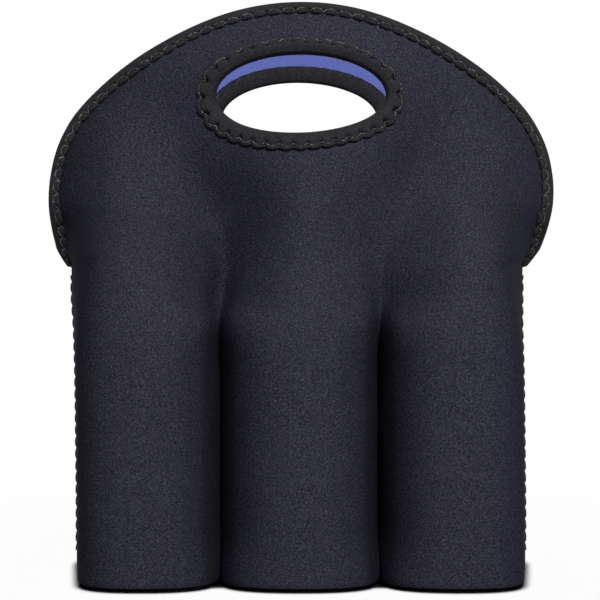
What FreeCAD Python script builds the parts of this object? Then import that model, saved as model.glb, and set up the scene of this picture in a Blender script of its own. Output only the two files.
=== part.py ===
# Soft carrier for six bottles, sewn from sheet neoprene: two lobed panels that rise into handle flaps,
# a scalloped base, three dividers, bound edges and zigzag seams.
# Millimetres, +Z up, front towards -Y, origin at the middle of the base on the surface it stands on.
import FreeCAD
import Part
import Sketcher
import math
import os
from types import SimpleNamespace

Vector = FreeCAD.Vector

# Driving sizes: alias, value, meaning
SIZES = [
    ("column_pitch", 73.0, "spacing of the bottle columns"),
    ("body_half_width", 113.0, "middle plane to a side seam"),
    ("body_half_depth", 72.0, "middle plane to the front of a tube"),
    ("side_bow", 5.0, "how far a side seam stands proud of the tube sides"),
    ("side_bow_depth", 42.0, "seam to where the side turns into the tube front"),
    ("crease_depth", 24.0, "tube front to the crease between two tubes"),
    ("crease_wall", 6.0, "sewn thickness behind a crease"),
    ("panel_thick", 3.4, "outer neoprene with its dark jersey"),
    ("lining_thick", 0.6, "inner coloured jersey"),
    ("base_thick", 3.4, "neoprene of the base"),
    ("divider_thick", 3.0, "neoprene of the dividers"),
    ("divider_top", 126.0, "height of the dividers above the floor"),
    ("slot_clearance", 0.15, "gap on each side of a divider in a slot"),
    ("seam_clearance", 0.1, "gap between pieces that are sewn edge to edge"),
    ("notch_rise", 23.0, "dividers to the top of the side seams"),
    ("neck_draw_in", 5.0, "how far a tube front is drawn in at the notch"),
    ("neck_crease_depth", 11.0, "crease that is left at the notch"),
    ("neck_side_bow", 7.0, "seam to tube side at the notch"),
    ("neck_side_bow_depth", 38.0, "seam to the turn of the side at the notch"),
    ("ear_foot_rise", 11.0, "notch to where the ear foot swells most"),
    ("ear_foot_swell", 2.6, "swell of the ear foot beyond a straight edge"),
    ("fold_rise", 29.0, "notch to the line that a flap folds about"),
    ("fold_margin", 2.2, "round fold joint beyond the tape that passes through it"),
    ("fold_gap", 0.3, "running gap of the fold"),
    ("flap_draw_in", 13.0, "how far a flap is drawn in from the tube fronts at the fold"),
    ("flap_lean", 9.5, "degrees that a flap leans inwards"),
    ("flap_bow_radius", 300.0, "bow of a flap from ear to ear"),
    ("flap_half_width", 120.7, "middle to the widest point of the ears"),
    ("flap_rise", 95.6, "fold to the top of a flap"),
    ("ear_rise", 2.0, "fold to the widest point of the ears"),
    ("crown_angle", 20.0, "degrees where the crown turns into the flank"),
    ("flank_share", 1.557, "radius of the sloping flank as a share of the crown radius"),
    ("flank_angle", 37.0, "degrees where the flank turns into the ear"),
    ("handle_rise", 51.3, "fold to the middle of the handle opening"),
    ("handle_half_length", 41.0, "half the clear length of the opening"),
    ("handle_half_height", 18.0, "half the clear height of the opening"),
    ("edge_binding_width", 7.5, "tape over the flap edge"),
    ("handle_binding_width", 8.2, "tape round the handle opening"),
    ("binding_thick", 1.2, "thickness of the tape"),
    ("thread_width", 0.9, "width of a sewn thread"),
    ("thread_thick", 0.6, "how far a thread stands up"),
    ("thread_gap", 0.1, "gap under a thread"),
    ("edge_stitch_pitch", 6.9, "one zigzag along the flap edge"),
    ("edge_stitch_near", 3.6, "flap edge to the outer zigzag points"),
    ("edge_stitch_far", 6.6, "flap edge to the inner zigzag points"),
    ("handle_stitch_pitch", 6.0, "one zigzag round the handle opening"),
    ("handle_stitch_near", 4.4, "opening to the inner zigzag points"),
    ("handle_stitch_far", 7.2, "opening to the outer zigzag points"),
    ("side_stitch_pitch", 6.0, "one zigzag along a side seam"),
    ("side_stitch_reach", 2.5, "side seam to the zigzag points"),
    ("side_stitch_inset", 4.0, "seam end to the first stitch"),
    ("crease_thread", 0.8, "diameter of the divider thread"),
    ("crease_thread_stand", 1.3, "crease to the middle of the divider thread"),
    ("crease_stitch_length", 4.0, "one stitch along a crease"),
    ("crease_stitch_pitch", 5.5, "spacing of the stitches along a crease"),
    ("overrun", 10.0, "how far cutting shapes pass what they cut"),
]

doc = FreeCAD.newDocument("bottle_carrier")
table = doc.addObject("Spreadsheet::Sheet", "Sizes")
for row, (alias, value, meaning) in enumerate(SIZES, start=1):
    table.set(f"A{row}", meaning)
    table.set(f"B{row}", str(value))
    table.setAlias(f"B{row}", alias)
doc.recompute()
s = SimpleNamespace(**{alias: float(table.get(alias)) for alias, _, _ in SIZES})

# Sizes that follow from the driving ones
wall_thick = s.panel_thick + s.lining_thick
crease_x = s.column_pitch / 2
floor_top = s.base_thick + s.lining_thick
notch_height = s.divider_top + s.notch_rise
fold_height = notch_height + s.fold_rise
top_height = fold_height + s.flap_rise
handle_height = fold_height + s.handle_rise
flap_half_depth = s.body_half_depth - s.flap_draw_in
sheet_half_reach = s.flap_half_width - s.binding_thick
stock_top = top_height + s.overrun
thread_low = -s.binding_thick - s.thread_gap
thread_high = thread_low - s.thread_thick
inner_cover = wall_thick + s.binding_thick


def add_shape(name, shape):
    """Puts a ready-made shape into the document."""
    feature = doc.addObject("Part::Feature", name)
    feature.Shape = shape
    return feature


def bind(feature, expressions):
    """Ties properties of a document object to cells of the size table."""
    for name, formula in expressions.items():
        feature.setExpression(name, formula)
    return feature


def boolean(kind, name, base, tool):
    """Part::Cut or Part::Common of two document objects."""
    feature = doc.addObject(kind, name)
    feature.Base = base
    feature.Tool = tool
    return feature


def mirrored(name, source, normal):
    """A mirror copy of a document object through the middle of the carrier."""
    feature = doc.addObject("Part::Mirroring", name)
    feature.Source = source
    feature.Base = Vector(0, 0, 0)
    feature.Normal = normal
    return feature


class Curve:
    """One arc of a plan outline, known by its centre and its two ends."""

    def __init__(self, centre, start, end):
        self.centre = centre
        self.start = start
        self.end = end

    @classmethod
    def level_at(cls, apex, end, from_end):
        """An arc that runs level at its apex and passes through the other end."""
        across = end.x - apex.x
        drop = end.y - apex.y
        radius = (across**2 + drop**2) / (2 * drop)
        centre = Vector(apex.x, apex.y + radius, 0)
        return cls(centre, end, apex) if from_end else cls(centre, apex, end)

    def inset(self, point, depth):
        """A point of the arc moved towards the centre."""
        return point + (self.centre - point).normalize() * depth

    def middle(self):
        """The point halfway along the arc."""
        chord_middle = (self.start + self.end) / 2
        radius = (self.start - self.centre).Length
        return self.centre + (chord_middle - self.centre).normalize() * radius


class PlanSection:
    """The plan outline of a front panel at one height, from the right seam to the left one."""

    crease_joint = 3

    def __init__(self, height, curves, inward_at_seam, crease_share):
        self.height = height
        self.curves = curves
        self.inward_at_seam = inward_at_seam
        self.crease_share = crease_share

    def inset_joint(self, index, depth):
        """The joint before curve number index, moved inwards by depth."""
        if index == 0:
            return self.curves[0].start + self.inward_at_seam * depth
        before = self.curves[index - 1]
        point = before.end
        if index == self.crease_joint:
            pinch = self.crease_share * s.crease_wall / wall_thick + 1 - self.crease_share
            return point + Vector(0, depth * pinch, 0)
        after = self.curves[index]
        return (before.inset(point, depth) + after.inset(point, depth)) / 2

    def right_arcs(self, depth):
        """Start, middle and end of each arc of the right half, at one depth below the outer face."""
        arcs = []
        for index, curve in enumerate(self.curves):
            start = self.inset_joint(index, depth)
            is_last = index == len(self.curves) - 1
            if is_last:
                end = curve.inset(curve.end, depth)
            else:
                end = self.inset_joint(index + 1, depth)
            arcs.append((start, curve.inset(curve.middle(), depth), end))
        return arcs

    def edges(self, depth):
        """The arcs at one depth below the outer face, from the right seam to the left one."""
        right = self.right_arcs(depth)
        left = [tuple(Vector(-p.x, p.y, 0) for p in reversed(arc)) for arc in reversed(right)]
        lift = Vector(0, 0, self.height)
        return [Part.Arc(*[p + lift for p in arc]).toShape() for arc in right + left]

    def wire(self, outer_depth, inner_depth):
        """The closed outline of a layer of the panel."""
        outer = self.edges(outer_depth)
        inner = self.edges(inner_depth)
        first_outer = outer[0].Vertexes[0].Point
        last_outer = outer[-1].Vertexes[-1].Point
        first_inner = inner[0].Vertexes[0].Point
        last_inner = inner[-1].Vertexes[-1].Point
        ends = [Part.makeLine(last_outer, last_inner), Part.makeLine(first_inner, first_outer)]
        return Part.Wire(Part.__sortEdges__(outer + inner + ends))

    def edge_strip(self, width, beyond):
        """A short piece of the section along the right edge, thick enough to be a binding there."""
        first = self.edges(0)[0]
        edge = first.valueAt(first.FirstParameter)
        along = first.tangentAt(first.FirstParameter)
        inward = Vector(along.y, -along.x, 0)
        corners = []
        for run, depth in (
            (-beyond, -s.binding_thick),
            (width, -s.binding_thick),
            (width, inner_cover),
            (-beyond, inner_cover),
        ):
            corners.append(edge + along * run + inward * depth)
        return Part.makePolygon(corners + corners[:1])


class SwellingSection(PlanSection):
    """A plan outline between two others, with its free edge pushed outwards."""

    def __init__(self, height, lower, upper, swell):
        self.height = height
        self.lower = lower
        self.upper = upper
        self.swell = swell

    def right_arcs(self, depth):
        """The arcs of the two outlines mixed by height, the first one swelling to its free end."""
        share = (self.height - self.lower.height) / (self.upper.height - self.lower.height)
        arcs = []
        for low_arc, high_arc in zip(self.lower.right_arcs(depth), self.upper.right_arcs(depth)):
            arcs.append([low * (1 - share) + high * share for low, high in zip(low_arc, high_arc)])
        arcs[0][0] += Vector(self.swell, 0, 0)
        arcs[0][1] += Vector(self.swell / 2, 0, 0)
        return [tuple(arc) for arc in arcs]


def tube_section(height, half_depth, crease, side_bow, side_bow_depth):
    """Plan outline where the panel wraps the three tubes of its row."""
    seam = Vector(s.body_half_width, 0, 0)
    turn = Vector(s.body_half_width - side_bow, -side_bow_depth, 0)
    outer_front = Vector(s.column_pitch, -half_depth, 0)
    pinch = Vector(crease_x, crease - half_depth, 0)
    middle_front = Vector(0, -half_depth, 0)
    side_radius = (side_bow**2 + side_bow_depth**2) / (2 * side_bow)
    curves = [
        Curve(seam - Vector(side_radius, 0, 0), seam, turn),
        Curve.level_at(outer_front, turn, True),
        Curve.level_at(outer_front, pinch, False),
        Curve.level_at(middle_front, pinch, True),
    ]
    return PlanSection(height, curves, Vector(-1, 0, 0), crease / s.crease_depth)


def bow_section(height, reach):
    """Plan outline of the flap: one shallow bow, further in the higher it is."""
    lean = (height - fold_height) * math.tan(math.radians(s.flap_lean))
    centre = Vector(0, s.flap_bow_radius - flap_half_depth + lean, 0)
    across = [reach, (reach + s.column_pitch) / 2, s.column_pitch, crease_x, 0]
    points = [
        Vector(x, centre.y - math.sqrt(s.flap_bow_radius**2 - x**2), 0) for x in across
    ]
    curves = [Curve(centre, start, end) for start, end in zip(points, points[1:])]
    return PlanSection(height, curves, (centre - points[0]).normalize(), 0)


foot_level = tube_section(
    s.base_thick, s.body_half_depth, s.crease_depth, s.side_bow, s.side_bow_depth
)
divider_level = tube_section(
    s.divider_top, s.body_half_depth, s.crease_depth, s.side_bow, s.side_bow_depth
)
notch_level = tube_section(
    notch_height,
    s.body_half_depth - s.neck_draw_in,
    s.neck_crease_depth,
    s.neck_side_bow,
    s.neck_side_bow_depth,
)
fold_level = bow_section(fold_height, sheet_half_reach)
stock_top_level = bow_section(stock_top, sheet_half_reach)
ear_foot_level = SwellingSection(
    notch_height + s.ear_foot_rise, notch_level, fold_level, s.ear_foot_swell
)
foot_levels = [notch_level, ear_foot_level, fold_level]
flap_levels = [fold_level, stock_top_level]
panel_levels = [foot_level, divider_level] + foot_levels + [stock_top_level]
cover_levels = [
    bow_section(height, s.flap_half_width + s.overrun) for height in (fold_height, stock_top)
]


def layer(name, levels, outer_depth, inner_depth):
    """A layer of the front panel between two depths below its outer face."""
    wires = [level.wire(outer_depth, inner_depth) for level in levels]
    return add_shape(name, Part.makeLoft(wires, True, True))


class FlapOutline:
    """The half-moon outline of a flap, seen from the front: crown, flank, ear and foot arcs."""

    def __init__(self):
        crown = math.radians(s.crown_angle)
        flank = math.radians(s.flank_angle)
        upright = math.pi / 2
        flank_step = s.flank_share * (math.sin(flank) - math.sin(crown))
        flank_drop = s.flank_share * (math.cos(crown) - math.cos(flank))
        crown_across = math.sin(crown) + flank_step
        crown_down = 1 - math.cos(crown) + flank_drop
        ear_across = 1 - math.sin(flank)
        ear_down = math.cos(flank)
        width = s.flap_half_width
        height = s.flap_rise - s.ear_rise
        balance = crown_across * ear_down - ear_across * crown_down
        crown_radius = (width * ear_down - ear_across * height) / balance
        ear_radius = (crown_across * height - crown_down * width) / balance
        flank_radius = s.flank_share * crown_radius
        crown_centre = Vector(0, 0, top_height - crown_radius)
        flank_centre = self.on_arc(crown_centre, crown_radius - flank_radius, crown)
        ear_centre = self.on_arc(flank_centre, flank_radius - ear_radius, flank)
        self.arcs = [
            (crown_centre, crown_radius, 0, crown),
            (flank_centre, flank_radius, crown, flank),
            (ear_centre, ear_radius, flank, upright),
        ]

    @staticmethod
    def on_arc(centre, radius, angle):
        """A point of an arc, with its angle measured from straight up."""
        return centre + Vector(math.sin(angle), 0, math.cos(angle)) * radius

    def face(self, inset):
        """The flat shape of the flap above the fold, drawn in by inset."""
        right = []
        for centre, radius, start, end in self.arcs:
            angles = (start, (start + end) / 2, end)
            right.append([self.on_arc(centre, radius - inset, a) for a in angles])
        left = [[Vector(-p.x, 0, p.z) for p in reversed(arc)] for arc in reversed(right)]
        edges = [Part.Arc(*arc).toShape() for arc in left + right]
        ear = right[-1][-1]
        corners = [
            ear,
            Vector(ear.x, 0, fold_height),
            Vector(-ear.x, 0, fold_height),
            Vector(-ear.x, 0, ear.z),
        ]
        for start, end in zip(corners, corners[1:]):
            edges.append(Part.makeLine(start, end))
        return Part.Face(Part.Wire(edges))

    def half_length(self):
        """Length of the outline from the middle of the crown to the end of the ear."""
        return sum(radius * (end - start) for _, radius, start, end in self.arcs)

    def at(self, run, inset):
        """A point by its run along the outline from the middle of the crown, drawn in by inset."""
        left = abs(run)
        for centre, radius, start, end in self.arcs:
            angle = start + left / radius
            if angle <= end or centre is self.arcs[-1][0]:
                break
            left -= radius * (end - start)
        point = self.on_arc(centre, radius - inset, angle)
        return Vector(math.copysign(point.x, run), 0, point.z)


def zigzag_face(near_points, far_points, half_width):
    """A flat zigzag ribbon that steps from a near point to a far one and back."""
    outward = [(far - near).normalize() for near, far in zip(near_points, far_points)]
    track = []
    for index, (near, far, way) in enumerate(zip(near_points, far_points, outward)):
        track.append((far if index % 2 else near, way))
    one_side = [point - way * half_width for point, way in track]
    other_side = [point + way * half_width for point, way in reversed(track)]
    corners = one_side + other_side
    return Part.Face(Part.makePolygon(corners + corners[:1]))


def swept_in_depth(face):
    """A front-view shape made into a cutter that passes right through the front half."""
    reach = s.body_half_depth + s.overrun
    cutter = face.copy()
    cutter.translate(Vector(0, -reach, 0))
    return cutter.extrude(Vector(0, reach, 0))


# Cutters for the flap outline, the binding band, the handle opening and the fold
outline = FlapOutline()


def body_region():
    """Everything below the fold, as a block in front of the middle plane."""
    reach = s.body_half_depth + s.overrun
    half_width = max(s.flap_half_width, s.body_half_width) + s.overrun
    corner = Vector(-half_width, -reach, 0)
    return Part.makeBox(2 * half_width, reach, fold_height, corner)


sheet_region = add_shape(
    "sheet_region", swept_in_depth(outline.face(s.binding_thick)).fuse(body_region())
)
edge_band = add_shape(
    "edge_band", swept_in_depth(outline.face(0).cut(outline.face(s.edge_binding_width)))
)


FOLD_FORMULA = "Sizes.divider_top + Sizes.notch_rise + Sizes.fold_rise"
HALF_REACH_FORMULA = "max(Sizes.flap_half_width; Sizes.body_half_width) + Sizes.overrun"
BOW_DEPTH_FORMULA = (
    "(Sizes.flap_bow_radius - sqrt(Sizes.flap_bow_radius ^ 2 - Sizes.flap_half_width ^ 2)"
    " + Sizes.panel_thick + Sizes.lining_thick)"
)


def ellipse_cutter(name, extra):
    """An elliptical prism through the front flap, larger than the clear opening by extra."""
    curve = doc.addObject("Part::Ellipse", f"{name}_curve")
    curve.Placement = FreeCAD.Placement(Vector(0, 0, 0), FreeCAD.Rotation(Vector(1, 0, 0), 90))
    bind(
        curve,
        {
            "MajorRadius": f"Sizes.handle_half_length + {extra}",
            "MinorRadius": f"Sizes.handle_half_height + {extra}",
            "Placement.Base.z": f"{FOLD_FORMULA} + Sizes.handle_rise",
        },
    )
    prism = doc.addObject("Part::Extrusion", name)
    prism.Base = curve
    prism.DirMode = "Custom"
    prism.Dir = Vector(0, -1, 0)
    prism.Solid = True
    bind(prism, {"LengthFwd": "Sizes.body_half_depth + Sizes.overrun"})
    return prism


clear_opening = ellipse_cutter("clear_opening", "0")
sheet_opening = ellipse_cutter("sheet_opening", "Sizes.binding_thick")
ring_outline = ellipse_cutter("ring_outline", "Sizes.handle_binding_width")
handle_ring = boolean("Part::Cut", "handle_ring", ring_outline, clear_opening)


def fold_region(name, gap):
    """What lies inside the round fold joint or above it."""
    roll = doc.addObject("Part::Cylinder", f"{name}_roll")
    roll.Placement.Rotation = FreeCAD.Rotation(Vector(0, 1, 0), 90)
    bind(
        roll,
        {
            "Radius": f"{BOW_DEPTH_FORMULA} / 2 + Sizes.binding_thick + Sizes.fold_margin - {gap}",
            "Height": f"2 * ({HALF_REACH_FORMULA})",
            "Placement.Base.x": f"-({HALF_REACH_FORMULA})",
            "Placement.Base.y": f"Sizes.flap_draw_in - Sizes.body_half_depth + {BOW_DEPTH_FORMULA} / 2",
            "Placement.Base.z": FOLD_FORMULA,
        },
    )
    above = doc.addObject("Part::Box", f"{name}_above")
    bind(
        above,
        {
            "Length": f"2 * ({HALF_REACH_FORMULA})",
            "Width": "Sizes.body_half_depth + Sizes.overrun",
            "Height": "Sizes.flap_rise + 2 * Sizes.overrun",
            "Placement.Base.x": f"-({HALF_REACH_FORMULA})",
            "Placement.Base.y": "-(Sizes.body_half_depth + Sizes.overrun)",
            "Placement.Base.z": FOLD_FORMULA,
        },
    )
    region = doc.addObject("Part::Fuse", name)
    region.Base = roll
    region.Tool = above
    return region


flap_side = fold_region("flap_side", "Sizes.fold_gap")
fold_clearance = fold_region("fold_clearance", "0")

nodes = {}


def keep(node, feature):
    """Names a finished sub-part."""
    feature.Label = node
    nodes[node] = feature
    return feature


# The neoprene panel and its lining: cut to the outline, opened for the hand, divided at the fold
def front_layer(body_node, flap_node, outer_depth, inner_depth):
    """One layer of the front panel as its body part and its flap part."""
    stock = layer(f"{flap_node}_stock", panel_levels, outer_depth, inner_depth)
    trimmed = boolean("Part::Common", f"{flap_node}_trimmed", stock, sheet_region)
    opened = boolean("Part::Cut", f"{flap_node}_opened", trimmed, sheet_opening)
    keep(body_node, boolean("Part::Cut", body_node, opened, fold_clearance))
    keep(flap_node, boolean("Part::Common", flap_node, opened, flap_side))


front_layer("front_body_panel", "front_handle_flap", 0, s.panel_thick)
front_layer("front_body_lining", "front_flap_lining", s.panel_thick, wall_thick)

# Bindings: tape folded over the cut edges, a channel round both layers of the panel
flap_cover = layer("flap_cover", cover_levels, -s.binding_thick, inner_cover)
flap_core = layer("flap_core", flap_levels, 0, wall_thick)
flap_core_cut = boolean("Part::Common", "flap_core_cut", flap_core, sheet_region)
flap_tape = boolean(
    "Part::Cut",
    "flap_tape",
    boolean("Part::Common", "flap_tape_block", flap_cover, edge_band),
    flap_core_cut,
)
foot_core = layer("foot_core", foot_levels, 0, wall_thick)


def foot_strips():
    """The stock of the binding between notch and fold, on both ears."""
    right = Part.makeLoft(
        [
            notch_level.edge_strip(s.edge_binding_width, 0),
            ear_foot_level.edge_strip(s.edge_binding_width - s.binding_thick, s.binding_thick),
            fold_level.edge_strip(s.edge_binding_width - s.binding_thick, s.binding_thick),
        ],
        True,
        True,
    )
    return Part.makeCompound([right, right.mirror(Vector(0, 0, 0), Vector(1, 0, 0))])


foot_tape = boolean("Part::Cut", "foot_tape", add_shape("foot_strips", foot_strips()), foot_core)
foot_tape_flap = boolean("Part::Common", "foot_tape_flap", foot_tape, flap_side)
edge_binding = doc.addObject("Part::MultiFuse", "front_edge_binding")
edge_binding.Shapes = [flap_tape, foot_tape_flap]
keep("front_edge_binding", edge_binding)
keep(
    "front_edge_binding_ends",
    boolean("Part::Cut", "front_edge_binding_ends", foot_tape, fold_clearance),
)

keep(
    "front_handle_binding",
    boolean(
        "Part::Cut",
        "front_handle_binding",
        boolean("Part::Common", "handle_tape_block", flap_cover, handle_ring),
        boolean("Part::Cut", "flap_core_opened", flap_core, sheet_opening),
    ),
)

# Zigzag threads on the bindings, lying on the outer face
thread_layer = layer("thread_layer", cover_levels, thread_high, thread_low)


def edge_zigzag():
    """The zigzag that holds the edge binding, from ear to ear."""
    run = outline.half_length() - s.edge_stitch_pitch
    count = 2 * round(2 * run / s.edge_stitch_pitch)
    runs = [-run + 2 * run * index / count for index in range(count + 1)]
    near = [outline.at(r, s.edge_stitch_near) for r in runs]
    far = [outline.at(r, s.edge_stitch_far) for r in runs]
    return zigzag_face(near, far, s.thread_width / 2)


def ring_point(turn, outset):
    """A point outside the clear handle opening, by its angle on the ellipse."""
    long_half = s.handle_half_length
    short_half = s.handle_half_height
    point = Vector(long_half * math.cos(turn), 0, short_half * math.sin(turn))
    way = Vector(short_half * math.cos(turn), 0, long_half * math.sin(turn)).normalize()
    return point + way * outset + Vector(0, 0, handle_height)


def even_turns(outset, pitch):
    """Angles on the ellipse that step evenly along its edge, an even number of half zigzags."""
    fine_steps = 2000
    turns = [2 * math.pi * index / fine_steps for index in range(fine_steps + 1)]
    points = [ring_point(turn, outset) for turn in turns]
    runs = [0.0]
    for before, after in zip(points, points[1:]):
        runs.append(runs[-1] + (after - before).Length)
    count = 2 * round(runs[-1] / pitch)
    even = []
    for index in range(count):
        target = runs[-1] * index / count
        even.append(next(turn for turn, run in zip(turns, runs) if run >= target))
    return even


def handle_zigzag():
    """The zigzag round the handle opening, open by one step where the thread starts and ends."""
    turns = even_turns(s.handle_stitch_near, s.handle_stitch_pitch)
    near = [ring_point(turn, s.handle_stitch_near) for turn in turns]
    far = [ring_point(turn, s.handle_stitch_far) for turn in turns]
    return zigzag_face(near, far, s.thread_width / 2)


for node, face in (
    ("front_edge_stitching", edge_zigzag()),
    ("front_handle_stitching", handle_zigzag()),
):
    cutter = add_shape(f"{node}_cutter", swept_in_depth(face))
    keep(node, boolean("Part::Common", node, cutter, thread_layer))


# Base: neoprene under the walls and its lining inside them
def plan_face(depth):
    """The plan shape of the whole carrier at one depth below the outer face of its walls."""
    front = foot_level.edges(depth)
    back = [edge.mirror(Vector(0, 0, 0), Vector(0, 1, 0)) for edge in front]
    face = Part.Face(Part.Wire(Part.__sortEdges__(front + back)))
    face.translate(Vector(0, 0, -s.base_thick))
    return face


base_outline = add_shape("base_outline", plan_face(0))
base_panel = doc.addObject("Part::Extrusion", "base_panel")
base_panel.Base = base_outline
base_panel.DirMode = "Custom"
base_panel.Dir = Vector(0, 0, 1)
bind(base_panel, {"LengthFwd": "Sizes.base_thick"})
keep("base_panel", base_panel)

lining_outline = add_shape("lining_outline", plan_face(wall_thick + s.seam_clearance))
base_lining = doc.addObject("Part::Extrusion", "base_lining")
base_lining.Base = lining_outline
base_lining.DirMode = "Custom"
base_lining.Dir = Vector(0, 0, 1)
bind(
    base_lining,
    {"LengthFwd": "Sizes.lining_thick", "Placement.Base.z": "Sizes.base_thick"},
)
keep("base_lining", base_lining)


# Dividers: flat sheets that slot into each other where they cross
def rectangle(sketch, expressions):
    """A rectangle in a sketch, with its four sides tied to the size table."""
    corners = [Vector(0, 0, 0), Vector(1, 0, 0), Vector(1, 1, 0), Vector(0, 1, 0)]
    for start, end in zip(corners, corners[1:] + corners[:1]):
        sketch.addGeometry(Part.LineSegment(start, end), False)
    for line in range(4):
        sketch.addConstraint(Sketcher.Constraint("Coincident", line, 2, (line + 1) % 4, 1))
    for line in (0, 2):
        sketch.addConstraint(Sketcher.Constraint("Horizontal", line))
    for line in (1, 3):
        sketch.addConstraint(Sketcher.Constraint("Vertical", line))
    sides = [("DistanceX", 0, 1), ("DistanceY", 0, 1), ("DistanceX", 0, 2), ("DistanceY", 2, 2)]
    for (kind, line, end), formula in zip(sides, expressions):
        number = sketch.addConstraint(Sketcher.Constraint(kind, -1, 1, line, end, 1.0))
        sketch.setExpression(f"Constraints[{number}]", formula)


def origin_plane(body, role):
    """One of a body's own origin planes."""
    return next(item for item in body.Origin.OriginFeatures if item.Role == role)


def divider(node, plane, half_length, slot_places, slot_from, slot_to):
    """A flat divider on an upright plane, with slots for what it crosses."""
    body = doc.addObject("PartDesign::Body", node)
    outline_sketch = body.newObject("Sketcher::SketchObject", f"{node}_outline")
    outline_sketch.AttachmentSupport = [(origin_plane(body, plane), "")]
    outline_sketch.MapMode = "FlatFace"
    floor = "Sizes.base_thick + Sizes.lining_thick"
    rectangle(outline_sketch, [f"-({half_length})", floor, half_length, "Sizes.divider_top"])
    pad = body.newObject("PartDesign::Pad", f"{node}_sheet")
    pad.Profile = outline_sketch
    pad.Midplane = True
    bind(pad, {"Length": "Sizes.divider_thick"})
    doc.recompute()
    half_slot = "Sizes.divider_thick / 2 + Sizes.slot_clearance"
    for number, place in enumerate(slot_places):
        slot_sketch = body.newObject("Sketcher::SketchObject", f"{node}_slot_{number}")
        slot_sketch.AttachmentSupport = [(origin_plane(body, plane), "")]
        slot_sketch.MapMode = "FlatFace"
        sides = [f"{place} - ({half_slot})", slot_from, f"{place} + {half_slot}", slot_to]
        rectangle(slot_sketch, sides)
        slot = body.newObject("PartDesign::Pocket", f"{node}_slot_cut_{number}")
        slot.Profile = slot_sketch
        slot.Midplane = True
        slot.Type = "ThroughAll"
        doc.recompute()
    return keep(node, body)


half_way = "(Sizes.base_thick + Sizes.lining_thick + Sizes.divider_top) / 2"
divider(
    "centre_divider",
    "XZ_Plane",
    "Sizes.body_half_width - Sizes.panel_thick - Sizes.lining_thick - Sizes.seam_clearance",
    ["-Sizes.column_pitch / 2", "Sizes.column_pitch / 2"],
    f"{half_way} - Sizes.slot_clearance",
    "Sizes.divider_top + Sizes.overrun",
)
for node, side in (("left_cross_divider", -1), ("right_cross_divider", 1)):
    cross = divider(
        node,
        "YZ_Plane",
        "Sizes.body_half_depth - Sizes.crease_depth - Sizes.crease_wall - Sizes.seam_clearance",
        ["0"],
        "-Sizes.overrun",
        f"{half_way} + Sizes.slot_clearance",
    )
    bind(cross, {"Placement.Base.x": f"{side} * Sizes.column_pitch / 2"})


# Side seams: a zigzag thread across the butted panel edges
def side_zigzag():
    """The zigzag of the right side seam, in the plane of the side."""
    low = s.base_thick + s.side_stitch_inset
    high = notch_height - s.side_stitch_inset
    count = 2 * round((high - low) / s.side_stitch_pitch)
    levels = [low + (high - low) * index / count for index in range(count + 1)]
    face_x = s.body_half_width + s.thread_gap
    near = [Vector(face_x, -s.side_stitch_reach, level) for level in levels]
    far = [Vector(face_x, s.side_stitch_reach, level) for level in levels]
    return zigzag_face(near, far, s.thread_width / 2)


right_seam = add_shape("right_seam", side_zigzag().extrude(Vector(s.thread_thick, 0, 0)))
keep("right_side_seam_thread", right_seam)
keep("left_side_seam_thread", mirrored("left_seam", right_seam, Vector(1, 0, 0)))


# Divider seams: short straight stitches down each crease of the front panel
def crease_stitches():
    """The stitches of both front creases."""
    low = floor_top + s.crease_stitch_pitch - s.crease_stitch_length
    count = int((s.divider_top - low) / s.crease_stitch_pitch)
    stitches = []
    for side in (-1, 1):
        x = side * crease_x
        y = s.crease_depth - s.body_half_depth - s.crease_thread_stand
        for index in range(count):
            foot = Vector(x, y, low + index * s.crease_stitch_pitch)
            stitches.append(Part.makeCylinder(s.crease_thread / 2, s.crease_stitch_length, foot))
    return Part.makeCompound(stitches)


keep("front_divider_stitching", add_shape("front_divider_stitching", crease_stitches()))

# The back of the carrier repeats the front
for node in [name for name in nodes if name.startswith("front_")]:
    back_node = node.replace("front_", "back_")
    keep(back_node, mirrored(back_node, nodes[node], Vector(0, 1, 0)))

doc.recompute()

for item in doc.Objects:
    if "Invalid" in item.State or "Error" in item.State:
        raise RuntimeError(f"{item.Label} failed: {item.State}")
for node, feature in nodes.items():
    if feature.Shape.isNull() or not feature.Shape.isValid():
        raise RuntimeError(f"{node} has no valid shape")
    if not feature.Shape.Solids:
        raise RuntimeError(f"{node} has no solid")

os.makedirs("parts", exist_ok=True)
for node, feature in nodes.items():
    shape = feature.Shape
    shape.exportStep(f"parts/{node}.step")
    print(f"{node}: {len(shape.Solids)} solids, {shape.Volume:.1f} mm3")
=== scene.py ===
"""Dresses the soft bottle carrier: sewn neoprene panels, lining, tape and thread, in a plain white studio."""

import logging
import math
from collections.abc import Callable, Sequence
from dataclasses import dataclass
from enum import Enum
from functools import partial
from typing import Any

import bpy
import numpy as np
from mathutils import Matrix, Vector


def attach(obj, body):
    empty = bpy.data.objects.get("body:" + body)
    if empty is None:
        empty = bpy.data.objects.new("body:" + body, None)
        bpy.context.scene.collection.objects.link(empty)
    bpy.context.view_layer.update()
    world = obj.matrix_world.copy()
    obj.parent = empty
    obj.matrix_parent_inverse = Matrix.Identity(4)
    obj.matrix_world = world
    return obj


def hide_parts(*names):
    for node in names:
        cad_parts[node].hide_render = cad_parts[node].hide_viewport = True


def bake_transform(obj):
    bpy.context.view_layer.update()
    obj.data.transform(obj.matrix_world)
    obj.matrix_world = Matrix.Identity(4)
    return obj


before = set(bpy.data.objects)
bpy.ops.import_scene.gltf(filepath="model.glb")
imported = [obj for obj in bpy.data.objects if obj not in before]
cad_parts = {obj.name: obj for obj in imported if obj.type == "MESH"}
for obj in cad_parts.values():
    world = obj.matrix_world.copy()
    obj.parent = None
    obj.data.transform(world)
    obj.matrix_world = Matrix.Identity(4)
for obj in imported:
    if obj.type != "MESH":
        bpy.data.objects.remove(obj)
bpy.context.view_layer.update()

LOG = logging.getLogger("carrier")
MM = 0.001
LEAST_BLUR = 0.2
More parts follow.
